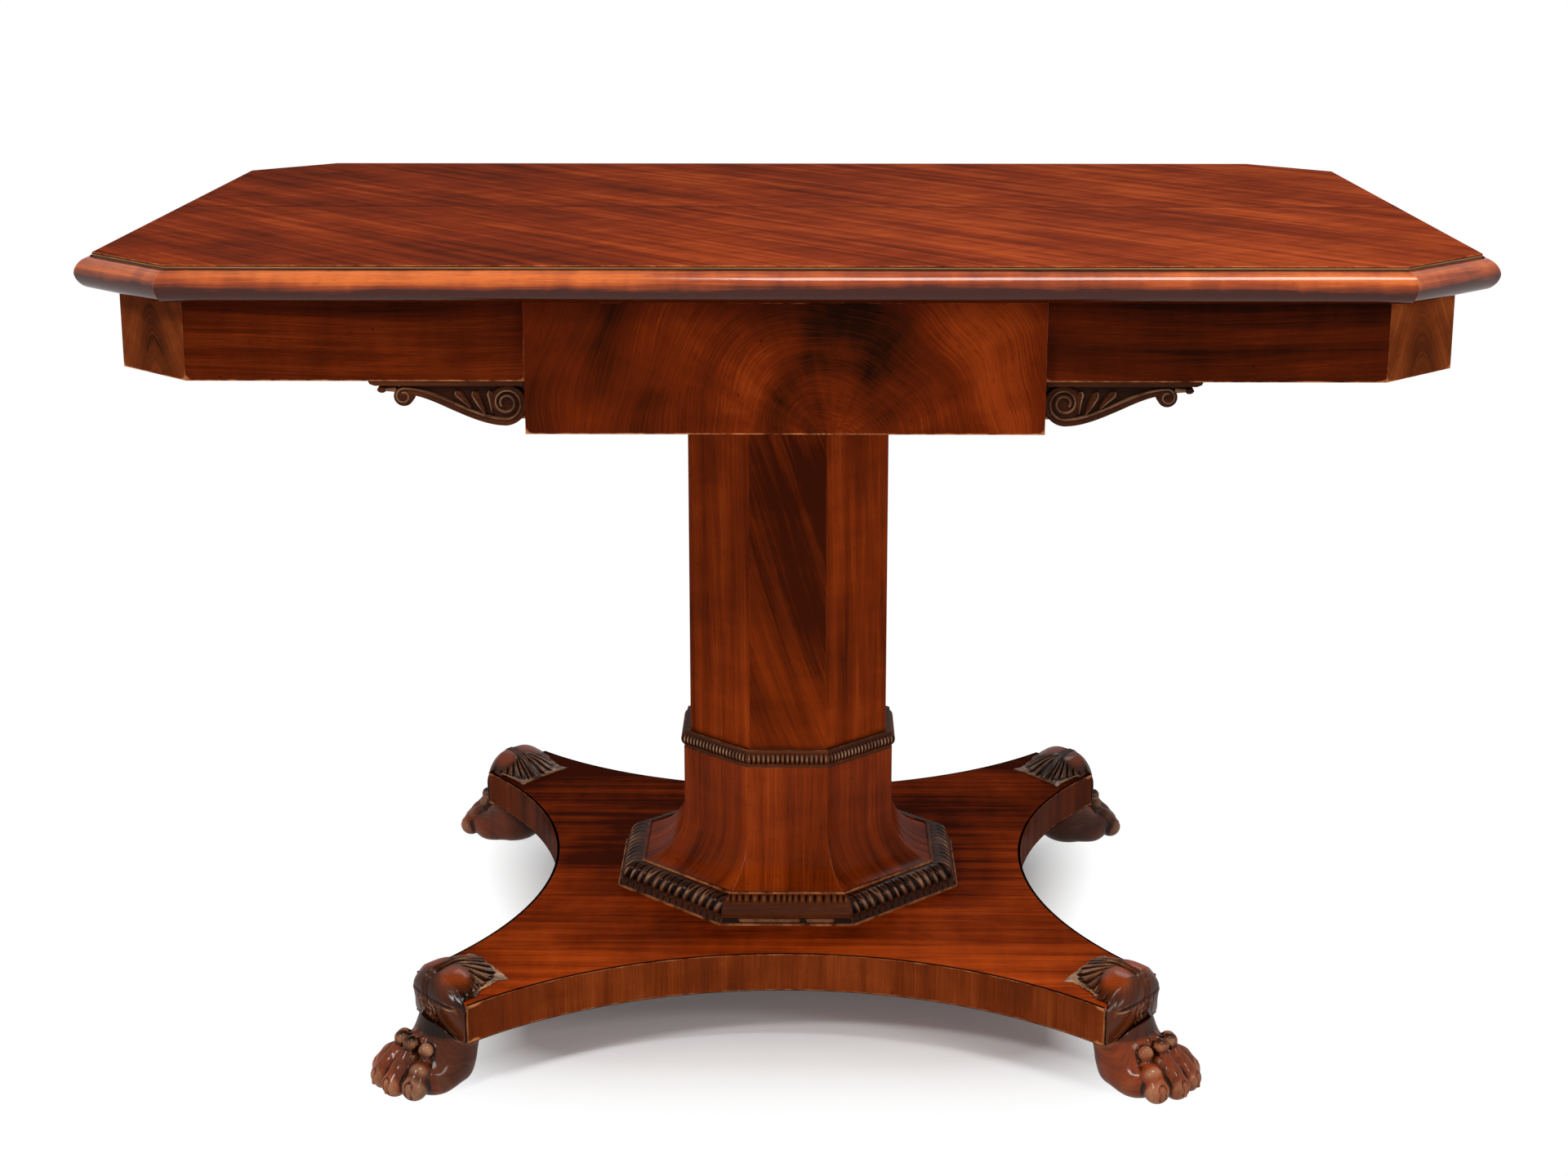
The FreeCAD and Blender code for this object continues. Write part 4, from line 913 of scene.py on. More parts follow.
def carved_ring(name, node, profile, carved, pitch, steps, cut, material):
    """A carved moulding round the column. On each facet the profile is pressed in by the cut, which depends
    on the place across the facet, the place along the profile and the facet; it fades out at the mitres.
    Each pitch of the carving has so many steps of the grid. carved is where the carving starts and ends along
    the profile; the sharp corners beside it are rubbed pale."""
    loop, run = closed_profile(profile)
    on_round = ((run > carved[0]) & (run < carved[1]))[:, None]
    ahead = np.diff(np.concatenate([loop, loop[1:2]]), axis=0)
    heading = np.unwrap(np.arctan2(ahead[:, 1], ahead[:, 0]))
    sharp = np.abs(heading - np.concatenate([heading[:1], heading[:-1]])) > 0.9
    wear = np.where(sharp & ~on_round[:, 0], 1.0, 0.0)[:, None]
    share = (run - carved[0]) / (carved[1] - carved[0])
    # Ridges are rubbed pale most on the upper middle of the round, where it faces the light: a painted
    # highlight;
    upper = np.where(share < 0.17, 0.5, np.exp(-((share - 0.6) / 0.3) ** 2))[:, None]
    # the lowest part of the carving keeps half of it
    skin = Skin()
    for facet in range(8):
        widest = loop[:, 0].max() * facet_shares(facet)[1]
        count = int(round(2 * widest / pitch)) * steps
        columns = np.linspace(-1, 1, count + 1)
        points, place, outward = facet_grid(loop, columns, facet, 0.6)
        from_mitre = widest * (1 - np.abs(columns))[None, :]
        depth = cut(place, run[:, None], facet) * smooth(0.6, 2.2, from_mitre)
        points = points - depth[..., None] * outward
        relief = 4.4 * (0.8 * depth.mean(axis=1, keepdims=True) - depth) / max(depth.max(), 1.5)
        relief = np.where(relief > 0, relief * upper, relief) * (from_mitre > 1.5) * on_round
        skin.add(points, place + 300.0 * facet, run[:, None] + 91.0 * facet,
                 relief=relief, wear=wear, shade=0.3 if facet == 0 else 0.0)
    skin.piece(name, material, [node], crease=50)


def grooves(phase, sharpness):
    """Cuts at every whole number of the phase: 1 in a cut and 0 on the round between two cuts."""
    return 1 - np.abs(np.sin(math.pi * phase)) ** sharpness


# The collar: half its width over the fillets, their height and the radius of its bead
COLLAR_FACE, COLLAR_FILLET, COLLAR_BEAD = 103.5, 3.0, 7.0
# The reels on the front of the leaf moulding: middle and half length of each, and half their width
REELS, REEL_HALF = ((-17.0, 28.0), (32.0, 12.0)), 1.8
# How far a tongue leans over its height
TONGUE_LEAN = 8.0


class DressMouldings(bpy.types.Operator):
    """Carves the beaded collar and the leaf moulding round the column"""

    bl_idname = "centre_table.dress_mouldings"
    bl_label = "Carved Mouldings"

    def execute(self, context):
        material = wood("waxed_carved_moulding", "moulding", Figure(6.0, 120, 0.8, 0.5, 0.8, 0.2),
                        Polish(0.4, 0.12, 0.14), rubbing_highlight=1.0)
        self.make_collar(material)
        self.make_leaves(material)
        return {"FINISHED"}

    def make_collar(self, material):
        """A round between two fillets, cut across into beads at even steps."""
        inner, low, high = shaft_high[0], collar_low[2], collar_high[2]
        face, fillet = COLLAR_FACE, COLLAR_FILLET
        bead = arc_between((face, low + fillet), (face, high - fillet), COLLAR_BEAD, 16)
        start = polyline([(inner, low), (face, low), (face, low + fillet)], 2.0)
        finish = polyline([(face, high - fillet), (face, high), (inner, high)], 2.0)
        profile = np.concatenate([start[:-1], bead, finish[1:]])
        bead_start = run_length(profile)[len(start) - 1]
        bead_run = run_length(bead)[-1]
        pitch, depth = in_mm(sizes().bead_pitch), in_mm(sizes().bead_depth)

        def cut(place, run, facet):
            """Grooves across the round that fade out at the fillets, and are shallower on the front."""
            share = np.clip((run - bead_start) / bead_run, 0, 1)
            swell = np.sin(math.pi * share) ** 0.7
            return depth * grooves(place / pitch + 0.5, 0.55) * swell * (0.75 if facet == 0 else 1.0)

        carved = (bead_start, bead_start + bead_run)
        carved_ring("beaded_collar", "collar_moulding", profile, carved, pitch, 8, cut, material)

    def make_leaves(self, material):
        """From below: a thin fillet, a strip of squares, a round of leaning tongues and a lip against the
        flare. On the front the round is rubbed almost smooth, and the strip has two long reels."""
        foot, face, low, high = flare_high[0] - 6.0, leaf_high[0], leaf_low[2], leaf_high[2]
        lip = foot + 2.4
        strip_low, strip_high = (face - 1.2, low + 1.8), (face - 2.8, low + 6.6)
        round_low, round_high = (face - 4.6, low + 7.2), (lip + 0.8, high - 2.4)
        rounding = arc_between(round_low, round_high, 15.0, 40)
        start = polyline([(foot, low), (face, low), (face, low + 2.0), strip_low], 1.5)
        strip = polyline([strip_low, strip_high, round_low], 0.55)
        finish = polyline([round_high, (lip, high - 1.8), (lip, high), (foot, high)], 1.2)
        profile = np.concatenate([start[:-1], strip[:-1], rounding, finish[1:]])
        run = run_length(profile)
        strip_start, round_start = run[len(start) - 1], run[len(start) + len(strip) - 2]
        round_end = round_start + run_length(rounding)[-1]
        pitch, depth = in_mm(sizes().rib_pitch), in_mm(sizes().rib_depth)

        def tongues(place, share, facet):
            """Leaning, wavering grooves a pitch apart, with a hollow down the upper part of each tongue."""
            lean = TONGUE_LEAN * (1 if facet in (1, 2, 3) else -1)
            waver = 0.9 * np.sin(place / 7.3 + facet) + 0.6 * np.sin(place / 3.1 + 2 * facet)
            phase = (place + lean * share + waver) / pitch
            middle = np.abs((phase % 1.0) - 0.5)
            hollow = 0.5 * np.exp(-(middle / 0.16) ** 2) * smooth(0.35, 0.6, share)
            worn = 0.8 + 0.2 * np.sin(place / 11.0 + 2 * facet)
            ends = smooth(0.0, 0.08, share) * smooth(1.0, 0.9, share)
            return worn * (grooves(phase, 0.85) + hollow) * ends

        def round_reels(place, height):
            """0 within half a width of each reel's middle line, and 1 away from it."""
            outline = 9.0
            for centre, half in REELS:
                across = np.hypot(np.maximum(np.abs(place - centre) - half, 0), height)
                outline = np.minimum(outline, across - REEL_HALF)
            return smooth(-0.35, 0.35, outline)

        def cut(place, run, facet):
            """Tongues on the round and squares on the strip; on the front slight bumps and the reels."""
            share = np.clip((run - round_start) / (round_end - round_start), 0, 1)
            on_strip = smooth(strip_start, strip_start + 0.6, run)
            on_strip = on_strip * smooth(round_start - 1.0, round_start - 1.8, run)
            if facet:
                squares = grooves(place / (pitch * 0.8), 0.4)
                return depth * tongues(place, share, facet) + 1.3 * squares * on_strip
            bumps = grooves(place / (pitch * 0.6) + 0.3 * np.sin(place / 9.0), 0.9)
            bumps = bumps * smooth(0.35, 0.7, share) * smooth(1.0, 0.92, share)
            height = run - (strip_start + round_start - 1.4) / 2
            return 0.22 * depth * bumps + 1.1 * round_reels(place, height) * on_strip

        carved = (strip_start, round_end)
        carved_ring("leaf_carved_moulding", "leaf_moulding", profile, carved, pitch, 12, cut, material)


# The platform

# The leg of the cut at an arm's end; the facing's thickness, the board's lap into it and its step down
PLATFORM_CUT, FACING, FACING_LAP, FACING_STEP = 76.0, 3.0, 0.9, 0.12
platform_half = -facing_low[1]
platform_near = platform_half - PLATFORM_CUT
platform_waist = -facing_high[1] + FACING
ARM_END = (platform_near + platform_half) / math.sqrt(2)
# Half the width of an arm's end on the side of the front or rear hollow, and on that of the left or right one
ARM_HALF, ARM_FAR_HALF = PLATFORM_CUT / math.sqrt(2), 42.0
# The feet turn a little to the left or right end of the table, each about a place given with its arm along X
FOOT_TURN = 9.0
ARM_PIVOT = np.array([ARM_END, ARM_HALF, 0.0])
# The rod's hole in the board, and the recess for its nut and washer
ROD_HOLE, NUT_RECESS, NUT_RECESS_DEPTH = 8.5, 26.0, 14.0

Hollow = namedtuple("Hollow", "radius centre spread")


def foot_turned(points, pivot, hand, degrees):
    """Points of a foot made with the arm along X, turned about a pivot and then out to the arm's own
    direction. The hand is 1 if the front or rear hollow is on the left of the arm, and -1 if on the right."""
    centre = pivot * np.array([1, hand, 1])
    return turned(turned(points - centre, -hand * FOOT_TURN) + centre, degrees)


def hollow(end, half_length):
    """The arc of a hollow side, as on the front: through its middle at the waist and its two ends."""
    depth = end - platform_waist
    radius = (half_length ** 2 + depth ** 2) / (2 * depth)
    return Hollow(radius, platform_waist + radius, math.asin(half_length / radius))


far_corner = np.array([ARM_END, -ARM_FAR_HALF, 0.0])
side_corner = np.abs(foot_turned(far_corner, ARM_PIVOT, 1, CORNERS["front_left"]))
HOLLOWS = [hollow(platform_half, platform_near), hollow(side_corner[0], side_corner[1])]


def hollow_points(radius, centre, turn):
    """Points in plan of a hollow side in front: its arc's centre lies in front of the platform."""
    return np.stack([radius * np.sin(turn), radius * np.cos(turn) - centre], axis=-1)


def platform_loop(inset):
    """The platform in plan, anticlockwise: four hollow arcs drawn in by an inset, joined by the four cut arm
    ends. Also marks the points of the arm ends."""
    sides = []
    for quarter in range(4):
        radius, centre, spread = HOLLOWS[quarter % 2]
        flat = hollow_points(radius + inset, centre, np.linspace(-spread, spread, 60))
        sides.append(turned(np.column_stack([flat, np.zeros(len(flat))]), 90 * quarter)[:, :2])
    plan, at_end = [], []
    for quarter, side in enumerate(sides):
        end = polyline([side[-1], sides[(quarter + 1) % 4][0]], 9.0)[1:-1]
        plan += [side, end]
        at_end += [np.zeros(len(side)), np.ones(len(end))]
    return np.concatenate(plan), np.concatenate(at_end)


class DressPlatform(bpy.types.Operator):
    """Veneers the platform and its hollow edges"""

    bl_idname = "centre_table.dress_platform"
    bl_label = "Platform"

    def execute(self, context):
        top = wood("polished_platform_veneer", "platform", Figure(3.0, 70, 1.5, 0.6, 1.2, 0.4),
                   Polish(0.42, 0.012, 0.24))
        edge = wood("worn_platform_facing", "edge", Figure(4.0, 60, 0.9, 0.5, 0.9, 0.3),
                    Polish(0.42, 0.06, 0.22))
        self.make_board(top)
        self.make_facings(edge)
        return {"FINISHED"}

    def make_board(self, material):
        """The board as a loop that runs over its top, round its edge, back below and up through the rod's
        hole."""
        loop, at_end = platform_loop(FACING - FACING_LAP)
        low, high, arris = board_low[2], board_high[2], 0.3
        angle = np.arctan2(loop[:, 1], loop[:, 0])
        rim = np.stack([np.cos(angle), np.sin(angle)], axis=-1)
        face = [(loop * share, high) for share in (0.35, 0.5, 0.6, 0.7, 0.8, 0.9, 0.97, 1.0)]
        edge = [(loop, high - arris), (loop, low)]
        recess = low + NUT_RECESS_DEPTH
        grid = stacked([(rim * ROD_HOLE, high), *face, *edge, (loop * 0.97, low), (rim * NUT_RECESS, low),
                        (rim * NUT_RECESS, recess), (rim * ROD_HOLE, recess), (rim * ROD_HOLE, high)])
        # Painted light and shade across the board: darker towards the rear and the left, lighter to the right
        shade = -0.07 - 0.3 * grid[..., 1] / platform_half + 0.14 * grid[..., 0] / platform_half
        from_middle = np.hypot(grid[..., 0], grid[..., 1])
        # It is also darker round the column's foot and near the ends of the arms
        shade = shade - 0.24 * smooth(245, 190, from_middle) - 0.24 * smooth(340, 420, from_middle)
        edge_rows = slice(1 + len(face), 1 + len(face) + len(edge))
        # The edge at each arm's end is painted dark: painted shade in the gap behind the knee
        shade[edge_rows] = np.where(at_end, -0.6, shade[edge_rows])
        grid, shade = closed(grid), closed(shade)
        skin = Skin()
        skin.add(grid, grid[..., 0] + 2000.0, grid[..., 1] + 0.5 * grid[..., 2], shade=shade)
        skin.piece("platform_veneered_board", material, ["platform_board"])

    def make_facings(self, material):
        """Each facing as a rounded rectangle carried along the arc of its side."""
        low, high = (-FACING, board_low[2]), (0.0, board_high[2] - FACING_STEP)
        loop, worn = rounded_rectangle(low, high, 0.8, 6.0)
        edges = np.maximum(smooth(78, 87, loop[:, 1]), smooth(61, 52, loop[:, 1]))
        for quarter, side in enumerate(("front", "right", "rear", "left")):
            radius, centre, spread = HOLLOWS[quarter % 2]
            steps = edge_steps(2 * spread * radius, 5.0)
            plan = hollow_points(radius - loop[None, :, 0], centre, (steps / radius - spread)[:, None])
            level = np.broadcast_to(loop[:, 1], plan.shape[:2])
            points = np.concatenate([plan, level[..., None]], axis=-1)
            from_end = np.minimum(steps, steps[-1] - steps)[:, None]
            wear = np.maximum(worn, np.where(from_end < 0.5, 1.0, 0.0))
            wear = np.maximum(wear, 1.12 * smooth(34.0, 6.0, from_end) * edges)
            skin = Skin()
            # The left and right facings are painted darker: painted shade
            skin.add_bar(turned(points, 90 * quarter), level + 97.0 * quarter,
                         steps[:, None] + 801.0 * quarter, wear, -0.2 if quarter % 2 else 0.0)
            skin.piece(f"{side}_facing_strip", material, [f"{side}_platform_facing"])


# The carved feet, made with the arm along X

# Reach of the inner edge and of the brow, half the width of the leaf's back and of the knee's front
KNEE_INNER, KNEE_FRONT = 396.0, 473.0
KNEE_BACK_HALF, KNEE_HALF = 46.0, 53.6
# How far the back of the leaf leans to the left or right end of the table, and how much narrower its far half
# is there
KNEE_LEAN, KNEE_NARROWING = 29.0, 0.44
# Rise of the crown, of the leaf's inner edge and of its rim over the platform, and radius of the brow
KNEE_RISE, KNEE_INNER_RISE, KNEE_RIM, KNEE_BROW = 17.5, 4.0, 1.6, 14.0
# The front in plan: the reach from which it narrows, half its width and the power of its round
NOSE_START, NOSE_HALF, NOSE_POWER = 450.0, 57.0, 2.2
# How far the throat is drawn back at the foot of the knee
KNEE_THROAT = 12.0
# The smooth dome of each side: its middle, along and aside, and its radii
KNEE_PATCH, KNEE_PATCH_RADII = (53.0, 22.5), (17.0, 18.5)
# The leaf: the place its lobes fan out from, and the turn of one lobe
KNEE_FAN, KNEE_LOBE = 54.0, math.radians(13.0)
# Levels of the line under the brow and of the bead below it
BROW_LINE, BROW_BEAD = 83.0, 80.4
# Curls of the small leaf under the brow: side, level and radius
KNEE_CURLS = [(9.0, 73.0, 7.5), (6.5, 62.5, 6.0)]
# Points inside the knee and the paw from which their surfaces are found
KNEE_SEE = np.array([459.0, 0.0, 90.6])
PAW_SEE = np.array([456.0, 0.0, 22.0])


def ridge_at(value, middle, width):
    """A bell of height 1 at the middle, which falls to a third at a width from it."""
    return np.exp(-((value - middle) / width) ** 2)


def knee_patch(points):
    """Place on the smooth dome of each side: 0 at its middle and 1 at its rim."""
    along = (points[..., 0] - KNEE_INNER - KNEE_PATCH[0]) / KNEE_PATCH_RADII[0]
    side = (np.abs(points[..., 1]) - KNEE_PATCH[1]) / KNEE_PATCH_RADII[1]
    return np.hypot(along, side)


def knee_carving(points):
    """Depth cut out of the knee: the lobes of a leaf that fan out backwards from its front, left off on a
    smooth dome on each side, a double rib along the middle, a line under the brow and below it a small leaf
    of curls between two smooth panels."""
    along, side, level = points[..., 0] - KNEE_INNER, np.abs(points[..., 1]), points[..., 2]
    ring = knee_patch(points)
    above = smooth(board_high[2], board_high[2] + 3.0, level)
    lobe = np.arctan2(side, KNEE_FAN - along) / KNEE_LOBE + 0.06 * np.sin(along / 6.0)
    vein = 0.4 * ridge_at(lobe % 1.0, 0.5, 0.11)
    leaf = smooth(0.95, 1.2, ring) * smooth(66, 54, along) * above
    cut = in_mm(sizes().knee_depth) * leaf * np.maximum(grooves(lobe, 0.8), vein)
    cut = cut * smooth(4.4, 6.4, side) - 0.8 * ridge_at(side, 2.0, 0.9) + 0.9 * ridge_at(side, 4.8, 1.1)
    cut = cut - 1.2 * np.clip(1 - ring ** 2, 0, 1) * above
    front = smooth(455, 462, points[..., 0])
    under = smooth(44, 34, side) * front
    cut = cut + under * (1.4 * ridge_at(level, BROW_LINE, 1.0) - 0.5 * ridge_at(level, BROW_BEAD, 1.1))
    panel = np.hypot((side - 48.0) / 31.0, (level - 82.0) / 29.0) - 1
    cut = cut + front * 1.2 * np.exp(-(panel * 28.0) ** 2) * smooth(83, 80, level)
    for curl_side, curl_level, radius in KNEE_CURLS:
        share = np.hypot(side - curl_side, level - curl_level) / radius
        dome = np.sqrt(np.clip(1 - share ** 2, 0, 1))
        cut = cut - front * (1.9 * dome - 0.9 * ridge_at(share, 0.5, 0.16))
    return cut


def round_common(first, second, radius):
    """The farther of two distances, with the edge between them rounded off as a quarter circle."""
    reach = np.hypot(np.maximum(first + radius, 0), np.maximum(second + radius, 0))
    return np.minimum(np.maximum(first, second), -radius) + reach


def knee_field(points):
    """Distance from a knee: a low swelling with a rim on the platform's face, its front rounded in plan,
    rolled over in a brow, drawn in to the ankle and as wide as the end of the arm."""
    x, y, z = points[..., 0], np.abs(points[..., 1]), points[..., 2]
    face, bottom = board_high[2], board_low[2]
    share = np.clip((x - KNEE_INNER) / (KNEE_FRONT - KNEE_INNER), 0, 1)
    half = KNEE_BACK_HALF + (KNEE_HALF - KNEE_BACK_HALF) * np.minimum(share / 0.8, 1) ** 1.2
    climb = np.sin(np.minimum(share / 0.62, 1) * math.pi / 2)
    crown = KNEE_INNER_RISE + (KNEE_RISE - KNEE_INNER_RISE) * climb
    swell = np.maximum(1 - (y / (half - 2.5)) ** 2.4, 0)
    top = face + KNEE_RIM + (crown - KNEE_RIM) * swell
    drop = np.clip((face - 4.0 - z) / (face - 4.0 - bottom), 0, 1)
    tuck = 1 - 0.28 * drop ** 1.3 * smooth(ARM_END, ARM_END + 10.0, x)
    ahead = np.maximum(x - NOSE_START, 0) / (KNEE_FRONT - NOSE_START)
    nose = ahead ** NOSE_POWER + (y / (NOSE_HALF * tuck)) ** NOSE_POWER
    plan = (nose ** (1 / NOSE_POWER) - 1) * 22.0 - KNEE_BROW * smooth(463, 448, x)
    field = round_common((z - top) * 0.85, plan, KNEE_BROW)
    field = smooth_common(field, y - np.where(z > face, half, KNEE_HALF), 1.6)
    field = smooth_common(field, x - (KNEE_FRONT - KNEE_THROAT * drop ** 1.25), 4.0)
    field = field + 0.4 + np.minimum(knee_carving(points), np.maximum(top - face - 1.0, 0))
    seat = np.minimum(face - z, ARM_END - x)
    return np.maximum.reduce([field, KNEE_INNER - x, bottom - z, seat])


# The place the toes fan out from, the place the paw turns about and its shift from the arm's line
PAW_PIVOT = np.array([430.0, 0.0, 0.0])
PAW_TURN_PIVOT, PAW_SHIFT = np.array([ARM_END + 28.0, 16.0, 0.0]), np.array([6.0, -2.0, 0.0])
# Toes: turn from the arm's line in degrees, reach of the pad's middle and level of the knuckle
TOES = [(-26.0, 66.5, 40.0), (-8.8, 71.0, 45.0), (8.8, 71.0, 45.0), (26.0, 66.5, 40.0)]
# Radii of the pad, the arch, the waist and the knuckle of a toe, and the level of the pad's middle
TOE_PAD, TOE_ARCH, TOE_WAIST, TOE_KNUCKLE, TOE_PAD_LEVEL = 12.0, 9.6, 6.8, 7.2, 12.0
# The middle and the radii of the paw's body, and those of its ankle, heel, sides and instep, each with how
# far it melts into the rest
PAW_BODY = ((447, 0, 26), (32, 37, 28))
PAW_MASSES = [((438, 0, 47), (26, 37, 26), 8.0), ((445, 0, 11), (24, 31, 14), 8.0),
              ((464, -26, 14), (22, 14, 16), 7.0), ((464, 26, 14), (22, 14, 16), 7.0),
              ((478, 0, 18), (19, 33, 21), 8.0)]


def toe_field(points, angle, reach, knuckle_level):
    """Distance from one toe: a round knuckle on a tendon, a finger that dips to a waist, arches and swells to
    the pad, and a small claw with a groove round it."""
    place = turned(points - PAW_PIVOT, -angle)
    pad, arch = (reach, 0, TOE_PAD_LEVEL), (reach - 7.5, 0, TOE_PAD_LEVEL + 11.0)
    waist, knuckle = (reach - 15.5, 0, knuckle_level - 9.5), (reach - 19.0, 0, knuckle_level)
    ankle_end, toe_end = (reach - 50.0, 0, knuckle_level + 1.0), (reach - 27.0, 0, knuckle_level - 2.0)
    toe = smooth_union(limb(place, waist, arch, TOE_WAIST, TOE_ARCH),
                       limb(place, arch, pad, TOE_ARCH, TOE_PAD), 3.0)
    toe = smooth_union(toe, np.linalg.norm(place - np.array(knuckle), axis=-1) - TOE_KNUCKLE, 2.6)
    toe = smooth_union(toe, limb(place, ankle_end, toe_end, 6.5, 5.0), 1.5)
    claw = limb(place, (reach + 7.8, 0, 15.5), (reach + 9.8, 0, 6.5), 3.0, 1.8)
    toe = toe + 1.2 * ridge_at(claw, 1.2, 0.9)
    return np.minimum(toe, claw)


def paw_field(points):
    """Distance from a paw: egg-shaped masses run together, four toes set on them with narrow grooves, cut
    flat on the floor and under the platform."""
    field = egg(points, *PAW_BODY)
    for centre, radii, melt in PAW_MASSES:
        field = smooth_union(field, egg(points, centre, radii), melt)
    groove = in_mm(sizes().toe_groove)
    toes = toe_field(points, *TOES[0])
    for toe in TOES[1:]:
        toes = smooth_union(toes, toe_field(points, *toe), groove * 0.6)
    field = smooth_union(field, toes, groove)
    ceiling = board_low[2] + 9.0 * smooth(ARM_END - 8.0, ARM_END + 2.0, points[..., 0])
    return np.maximum.reduce([field, -points[..., 2], points[..., 2] - ceiling])


def knee_rows(count):
    """Turns about the line across the arm at which the rows of a knee lie: even steps along the middle of
    its outline, over the crown, the brow and the throat and back along its seat."""
    face, bottom = board_high[2], board_low[2]
    brow = (KNEE_FRONT - KNEE_BROW, face + KNEE_RISE - KNEE_BROW)
    over = np.radians(np.linspace(90, 0, 24))
    rolled = np.column_stack([brow[0] + KNEE_BROW * np.cos(over), brow[1] + KNEE_BROW * np.sin(over)])
    back = [(KNEE_INNER, face), (KNEE_INNER, face + KNEE_INNER_RISE), (KNEE_INNER + 40, face + KNEE_RISE)]
    foot = [(KNEE_FRONT - KNEE_THROAT, bottom), (ARM_END + 0.4, bottom)]
    outline = np.concatenate([back, rolled, foot])
    run = run_length(outline)
    steps = np.linspace(0, run[-1], count)
    path = np.column_stack([np.interp(steps, run, outline[:, axis]) for axis in (0, 1)])
    path = np.concatenate([path, [(ARM_END, face - 12), (ARM_END, face), (ARM_END - 20, face)]])
    return np.unwrap(np.arctan2(path[:, 1] - KNEE_SEE[2], path[:, 0] - KNEE_SEE[0]))


class DressFeet(bpy.types.Operator):
    """Carves the four knees and the four paws"""

    bl_idname = "centre_table.dress_feet"
    bl_label = "Knees and Paws"

    def execute(self, context):
        figure = Figure(7.0, 60, 0.7, 0.35, 0.8, 0.3)
        knees = wood("waxed_carved_knee", "carved", figure, Polish(0.32, 0.27, 0.15), rubbing_highlight=0.65)
        paws = wood("waxed_carved_paw", "carved", figure._replace(cloud=1.8, mottle=0.6),
                    Polish(0.3, 0.32, 0.13), rubbing_highlight=0.6)
        knee, paw = self.knee_grid(), self.paw_grid()
        for index, (corner, degrees) in enumerate(CORNERS.items()):
            self.carve(f"{corner}_carved_knee", f"{corner}_knee", knee, ARM_PIVOT, degrees, index, knees)
            self.carve(f"{corner}_carved_paw", f"{corner}_paw", paw, PAW_TURN_PIVOT, degrees, index + 4, paws)
        return {"FINISHED"}

    def carve(self, name, node, form, pivot, degrees, seed, material):
        """Puts a form on one arm, mirrored on every second arm, with its grain along the arm."""
        points, relief, shade = form
        skin = Skin()
        across = points[..., 1] * 0.8 + points[..., 2] * 0.6
        hand = 1 if seed % 2 == 0 else -1
        placed = foot_turned(points * np.array([1, hand, 1]), pivot, hand, degrees)
        skin.add(placed, points[..., 0] + 233.0 * seed, across + 119.0 * seed, relief=relief, shade=shade)
        skin.piece(name, material, [node], crease=60)

    def knee_grid(self):
        """Directions from a point at the seat's corner: rows turn about the line across the arm and columns
        run from one side to the other."""
        rows = knee_rows(sizes().carving_rows)
        rows = np.concatenate([rows, rows[:1] - 2 * math.pi])[:, None]
        lean = np.linspace(0, math.pi, sizes().carving_rows)[None, :]
        directions = np.stack(np.broadcast_arrays(
            np.cos(rows) * np.sin(lean), np.cos(lean), np.sin(rows) * np.sin(lean)), axis=-1)
        points = seen_from(knee_field, KNEE_SEE, directions, 100.0)
        above, ahead = points[..., 2] - board_high[2], points[..., 0] - ARM_END
        inside = np.where(above > -0.5, smooth(0.3, 2.2, above), smooth(2.0, 7.0, ahead))
        relief = relief_of(points, directions, 4) * inside
        corner = smooth(434, 442, points[..., 0]) * smooth(34, 40, np.abs(points[..., 1])) * (above > -3.0)
        relief = np.where(relief > 0, 0.5 * relief * (1 - corner), relief)
        shade = 0.46 * smooth(1.3, 0.55, knee_patch(points)) - 0.27
        # Below the platform's face the seat beside the arm's end is painted nearly black: painted shade in
        # the gap
        shade = np.where(above > -4.0, shade, np.where(ahead < 2.5, -0.9, -0.12))
        back = np.clip((ARM_END + 4.0 - points[..., 0]) / (ARM_END + 4.0 - KNEE_INNER), 0, 1)
        far = ARM_FAR_HALF / ARM_HALF * (1 - KNEE_NARROWING * back)
        points[..., 1] = points[..., 1] * np.where(points[..., 1] < 0, far, 1.0) - KNEE_LEAN * back
        return points, relief, shade

    def paw_grid(self):
        """Directions from a point inside the paw: rows fall from upright to straight down and columns turn
        about the upright, closest together over the toes."""
        turn = np.linspace(-math.pi, math.pi, 2 * sizes().carving_rows + 1)
        turn = (turn - 0.5 * np.sin(turn))[None, :]
        rise = np.linspace(math.pi / 2, -math.pi / 2, sizes().carving_rows)[:, None]
        directions = np.stack(np.broadcast_arrays(
            np.cos(rise) * np.cos(turn), np.cos(rise) * np.sin(turn), np.sin(rise)), axis=-1)
        points = seen_from(paw_field, PAW_SEE, directions, 90.0)
        fine, broad = relief_of(points, directions, 4), relief_of(points, directions, 10)
        under = smooth(board_low[2] + 1.0, board_low[2] - 4.0, points[..., 2])
        # Ridges below the throat take the rubbed pale, as wear and as painted highlight
        relief = np.where(fine > 0, np.minimum(0.12 * broad + 0.4 * fine, 0.62) * under, 1.4 * fine)
        # The paw's top, in the throat under the platform, is painted darker: painted shade
        shade = 0.06 - 0.36 * (1 - under)
        return points + PAW_SHIFT, relief, shade


# The scroll brackets, made with u outward along the rail, w down from it and d towards the viewer

# Depth of the strip, depth of the ground behind the scroll, and height of the strip
BRACKET_DEPTH, BRACKET_GROUND, BRACKET_STRIP = 18.0, 11.0, 4.0
VOLUTE_CENTRE, VOLUTE_RADIUS, VOLUTE_TURNS, VOLUTE_STEPS = np.array([15.6, 18.6]), 13.8, 1.85, 90
CURL_CENTRE, CURL_RADIUS, CURL_TURNS = np.array([101.0, 13.4]), 6.8, 1.05
